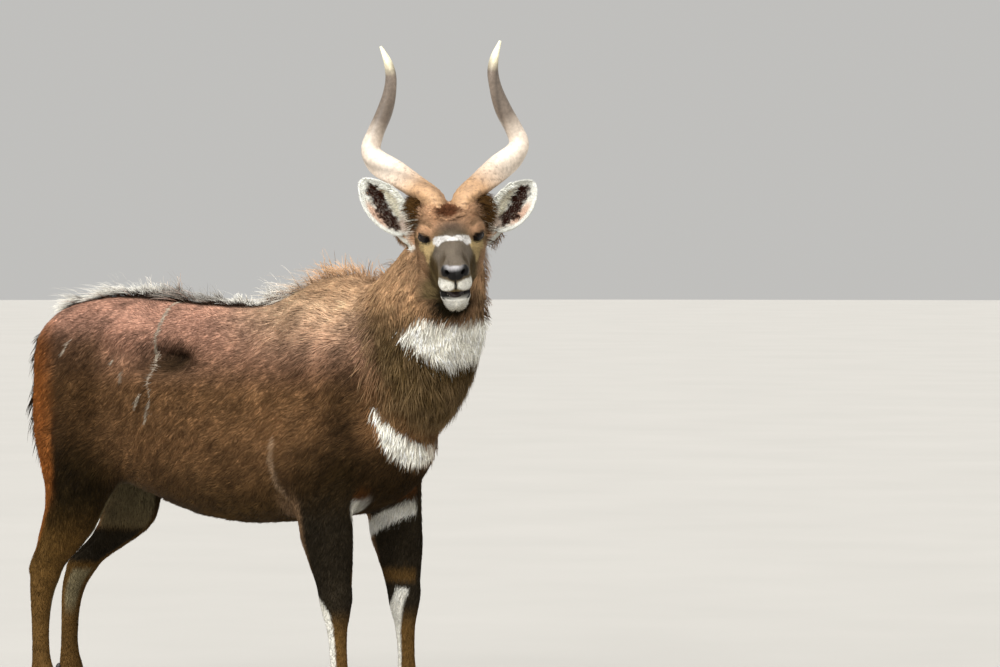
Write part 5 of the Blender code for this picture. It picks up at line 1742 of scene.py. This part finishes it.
class MakeMouth(bpy.types.Operator):
    """The tongue and the row of lower front teeth that show in the open mouth"""

    bl_idname = "nyala.mouth"
    bl_label = "Mouth"

    def execute(self, context):
        tongue = make_object("tongue", ellipsoid(Vector(TONGUE_AT), TONGUE_RADII, None, 4))
        tongue.data.transform(head_frame())
        # Tongue, wet and rough with papillae: dark greyish pink in the shade of the mouth
        look = plain_material("wet tongue", "2A1A17", 2.0, 0.8, 1.15, 0.5, 0.08, 0.0008)
        tongue.data.materials.append(look)
        finish_piece(tongue, "head")
        pieces = []
        for i in range(LOWER_TEETH):
            turn = (i - (LOWER_TEETH - 1) / 2) * 0.24
            place = Vector((TONGUE_AT[0] + 0.058 * math.cos(turn), 0.028 * math.sin(turn), -0.0960))
            pieces.append(ellipsoid(place, (0.0028, 0.0030, 0.0065), None, 3))
        teeth = make_object("lower_teeth", joined(pieces))
        teeth.data.transform(head_frame())
        # Worn enamel of a grazer's front teeth: ivory, stained darker in patches, lightly glossy
        teeth.data.materials.append(plain_material("tooth enamel", "B5AD96", 3.0, 0.80, 1.1, 0.3, 0.2))
        finish_piece(teeth, "head")
        return {"FINISHED"}


def claw(foot, side):
    """One half of a cloven hoof with growth rings, flat on the ground, its top under the hair."""
    table, x0, _, y_foot, _ = LEGS[foot]
    middle = Vector((x0 + table[-1][0], y_foot + side * CLAW_HALF_GAP, 0))
    rings = []
    for share, front, back, inner, outer in smooth_rows(CLAW, 8):
        growth = 1 + 0.008 * math.sin(share * 2 * math.pi * 5)
        height = (CORONET_HEIGHT + CORONET_SINK) * share
        mid, half = (inner + outer) / 2, (outer - inner) / 2
        centre = middle + Vector((0, side * mid, height))
        half -= 0.0006 * (share == 0)
        rings.append((centre, LEFT, AHEAD, half, front * growth, back * growth))
    bm = tube(rings, 48, 2.3)
    for v in bm.verts:
        v.co.z += v.co.z / CORONET_HEIGHT * CORONET_SLOPE * (v.co.x - middle.x)
    return bm


class MakeHooves(bpy.types.Operator):
    """Cloven hooves with growth rings, and the small claws behind each fetlock"""

    bl_idname = "nyala.hooves"
    bl_label = "Hooves"

    def execute(self, context):
        # Hoof wall, keratin grown downwards in rings and scuffed by stones: near black, half dull
        look = plain_material("dark keratin hoof", "2E2724", 4.0, 0.7, 1.3, 0.42, 0.0, 0.0012)
        for foot in LEGS:
            for side, place in ((-1, "a"), (1, "b")):
                made = make_object(f"claw_{foot}_{place}", claw(foot, side))
                made.data.materials.append(look)
                finish_piece(made, "hoof", f"hoof_{foot}_{place}")
            table, x0, _, y_foot, _ = LEGS[foot]
            back = next(row for row in table if row[1] == 0.110)
            spurs = []
            for side in (-1, 1):
                tilt = Matrix.Rotation(math.radians(25), 3, "Y")
                at = Vector((x0 + back[0] - back[3] + 0.004, y_foot + side * 0.015, 0.098))
                spurs.append(ellipsoid(at, (0.009, 0.0085, 0.014), tilt, 3))
            made = make_object(f"spurs_{foot}", joined(spurs))
            made.data.materials.append(look)
            finish_piece(made, "hoof")
        return {"FINISHED"}


class DressSkin(bpy.types.Operator):
    """Moves the skin into the part's frame once all the hair has grown from it"""

    bl_idname = "nyala.dress_skin"
    bl_label = "Place the skin"

    def execute(self, context):
        finish_piece(bpy.data.objects["skin"], "torso", *SKIN_NODES)
        return {"FINISHED"}


class SetStudio(bpy.types.Operator):
    """Plain pale floor, soft light and the camera"""

    bl_idname = "nyala.studio"
    bl_label = "Studio"

    def execute(self, context):
        scene, studio = context.scene, context.scene.nyala_studio
        bm = bmesh.new()
        bmesh.ops.create_circle(bm, cap_ends=True, segments=96, radius=60)
        floor = make_object("floor", bm)
        # Matt emulsion on a smooth floor: even and pale, so that it throws a little soft light up
        look, tree, shader = new_material("matt painted studio floor", Roughness=0.9)
        base = add(tree, "ShaderNodeRGB")
        base.outputs[0].default_value = (*studio.floor, 1)
        where = add(tree, "ShaderNodeTexCoord").outputs["Object"]
        tree.links.new(varied(tree, base.outputs[0], where, 900, 0.97, 1.02), shader.inputs["Base Color"])
        floor.data.materials.append(look)
        world = bpy.data.worlds.new("pale surround")
        world.use_nodes = True
        glow = world.node_tree.nodes["Background"]
        glow.inputs["Color"].default_value = (*studio.sky, 1)
        glow.inputs["Strength"].default_value = studio.surround_light
        scene.world = world
        middle = picture_middle(studio)
        right, back = picture_axes(studio)
        self.lamp("top", Vector((0.25, -0.35, 1.0)), 60, studio.top_light)
        self.lamp("front", back - right * 0.7 + Vector((0, 0, 0.5)), 50, studio.front_light)
        data = bpy.data.cameras.new("camera")
        data.sensor_width = 36.0
        data.lens = 36.0 * studio.distance / (1000 * studio.per_pixel)
        data.clip_end = 300
        camera = bpy.data.objects.new("camera", data)
        camera.location = middle + back * studio.distance
        camera.rotation_euler = (-back).to_track_quat("-Z", "Y").to_euler()
        scene.collection.objects.link(camera)
        scene.camera = camera
        scene.view_settings.view_transform = "Standard"
        return {"FINISHED"}

    @staticmethod
    def lamp(name, way, spread, strength):
        """Distant light from that way, as soft as one that fills spread degrees of the sky."""
        data = bpy.data.lights.new(name, "SUN")
        data.angle = math.radians(spread)
        data.energy = strength
        lamp = bpy.data.objects.new(name, data)
        lamp.rotation_euler = way.to_track_quat("Z", "Y").to_euler()
        bpy.context.scene.collection.objects.link(lamp)


def picture_axes(studio):
    """The ways to the picture's right and back to the camera."""
    a, e = studio.azimuth, studio.elevation
    right = Vector((math.cos(a), math.sin(a), 0))
    return right, Vector((math.sin(a) * math.cos(e), -math.cos(a) * math.cos(e), math.sin(e)))


def picture_middle(studio):
    """The point of the model at the middle of a picture 1000 pixels wide and 667 high."""
    right, _ = picture_axes(studio)
    across, above = (500 - 252) * studio.per_pixel, (718 - 333.5) * studio.per_pixel
    return right * across + Vector((0, 0, above)) + SHIFT


class NyalaPanel(bpy.types.Panel):
    """Lists the steps that build the bull"""

    bl_idname = "NYALA_PT_build"
    bl_label = "Mountain nyala bull"
    bl_space_type = "VIEW_3D"
    bl_region_type = "UI"
    bl_category = "Nyala"

    def draw(self, context):
        for step in STEPS:
            self.layout.operator(step.bl_idname, text=step.bl_label)


GROUPS = {"nyala_colours": NyalaColours, "nyala_sizes": NyalaSizes, "nyala_studio": NyalaStudio}
STEPS = (SetStudio, MakeSkin, GrowCoat, GrowLongHair, DressSkin, MakeHorns, MakeEyes, MakeMouth, MakeHooves)


def register():
    for group in GROUPS.values():
        bpy.utils.register_class(group)
    for step in (*STEPS, NyalaPanel):
        bpy.utils.register_class(step)
    for name, group in GROUPS.items():
        setattr(bpy.types.Scene, name, PointerProperty(type=group))


def unregister():
    for name in GROUPS:
        delattr(bpy.types.Scene, name)
    for step in (NyalaPanel, *reversed(STEPS), *GROUPS.values()):
        bpy.utils.unregister_class(step)


def main():
    register()
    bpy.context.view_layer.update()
    for step in STEPS:
        family, verb = step.bl_idname.split(".")
        getattr(getattr(bpy.ops, family), verb)()


if __name__ == "__main__":
    main()
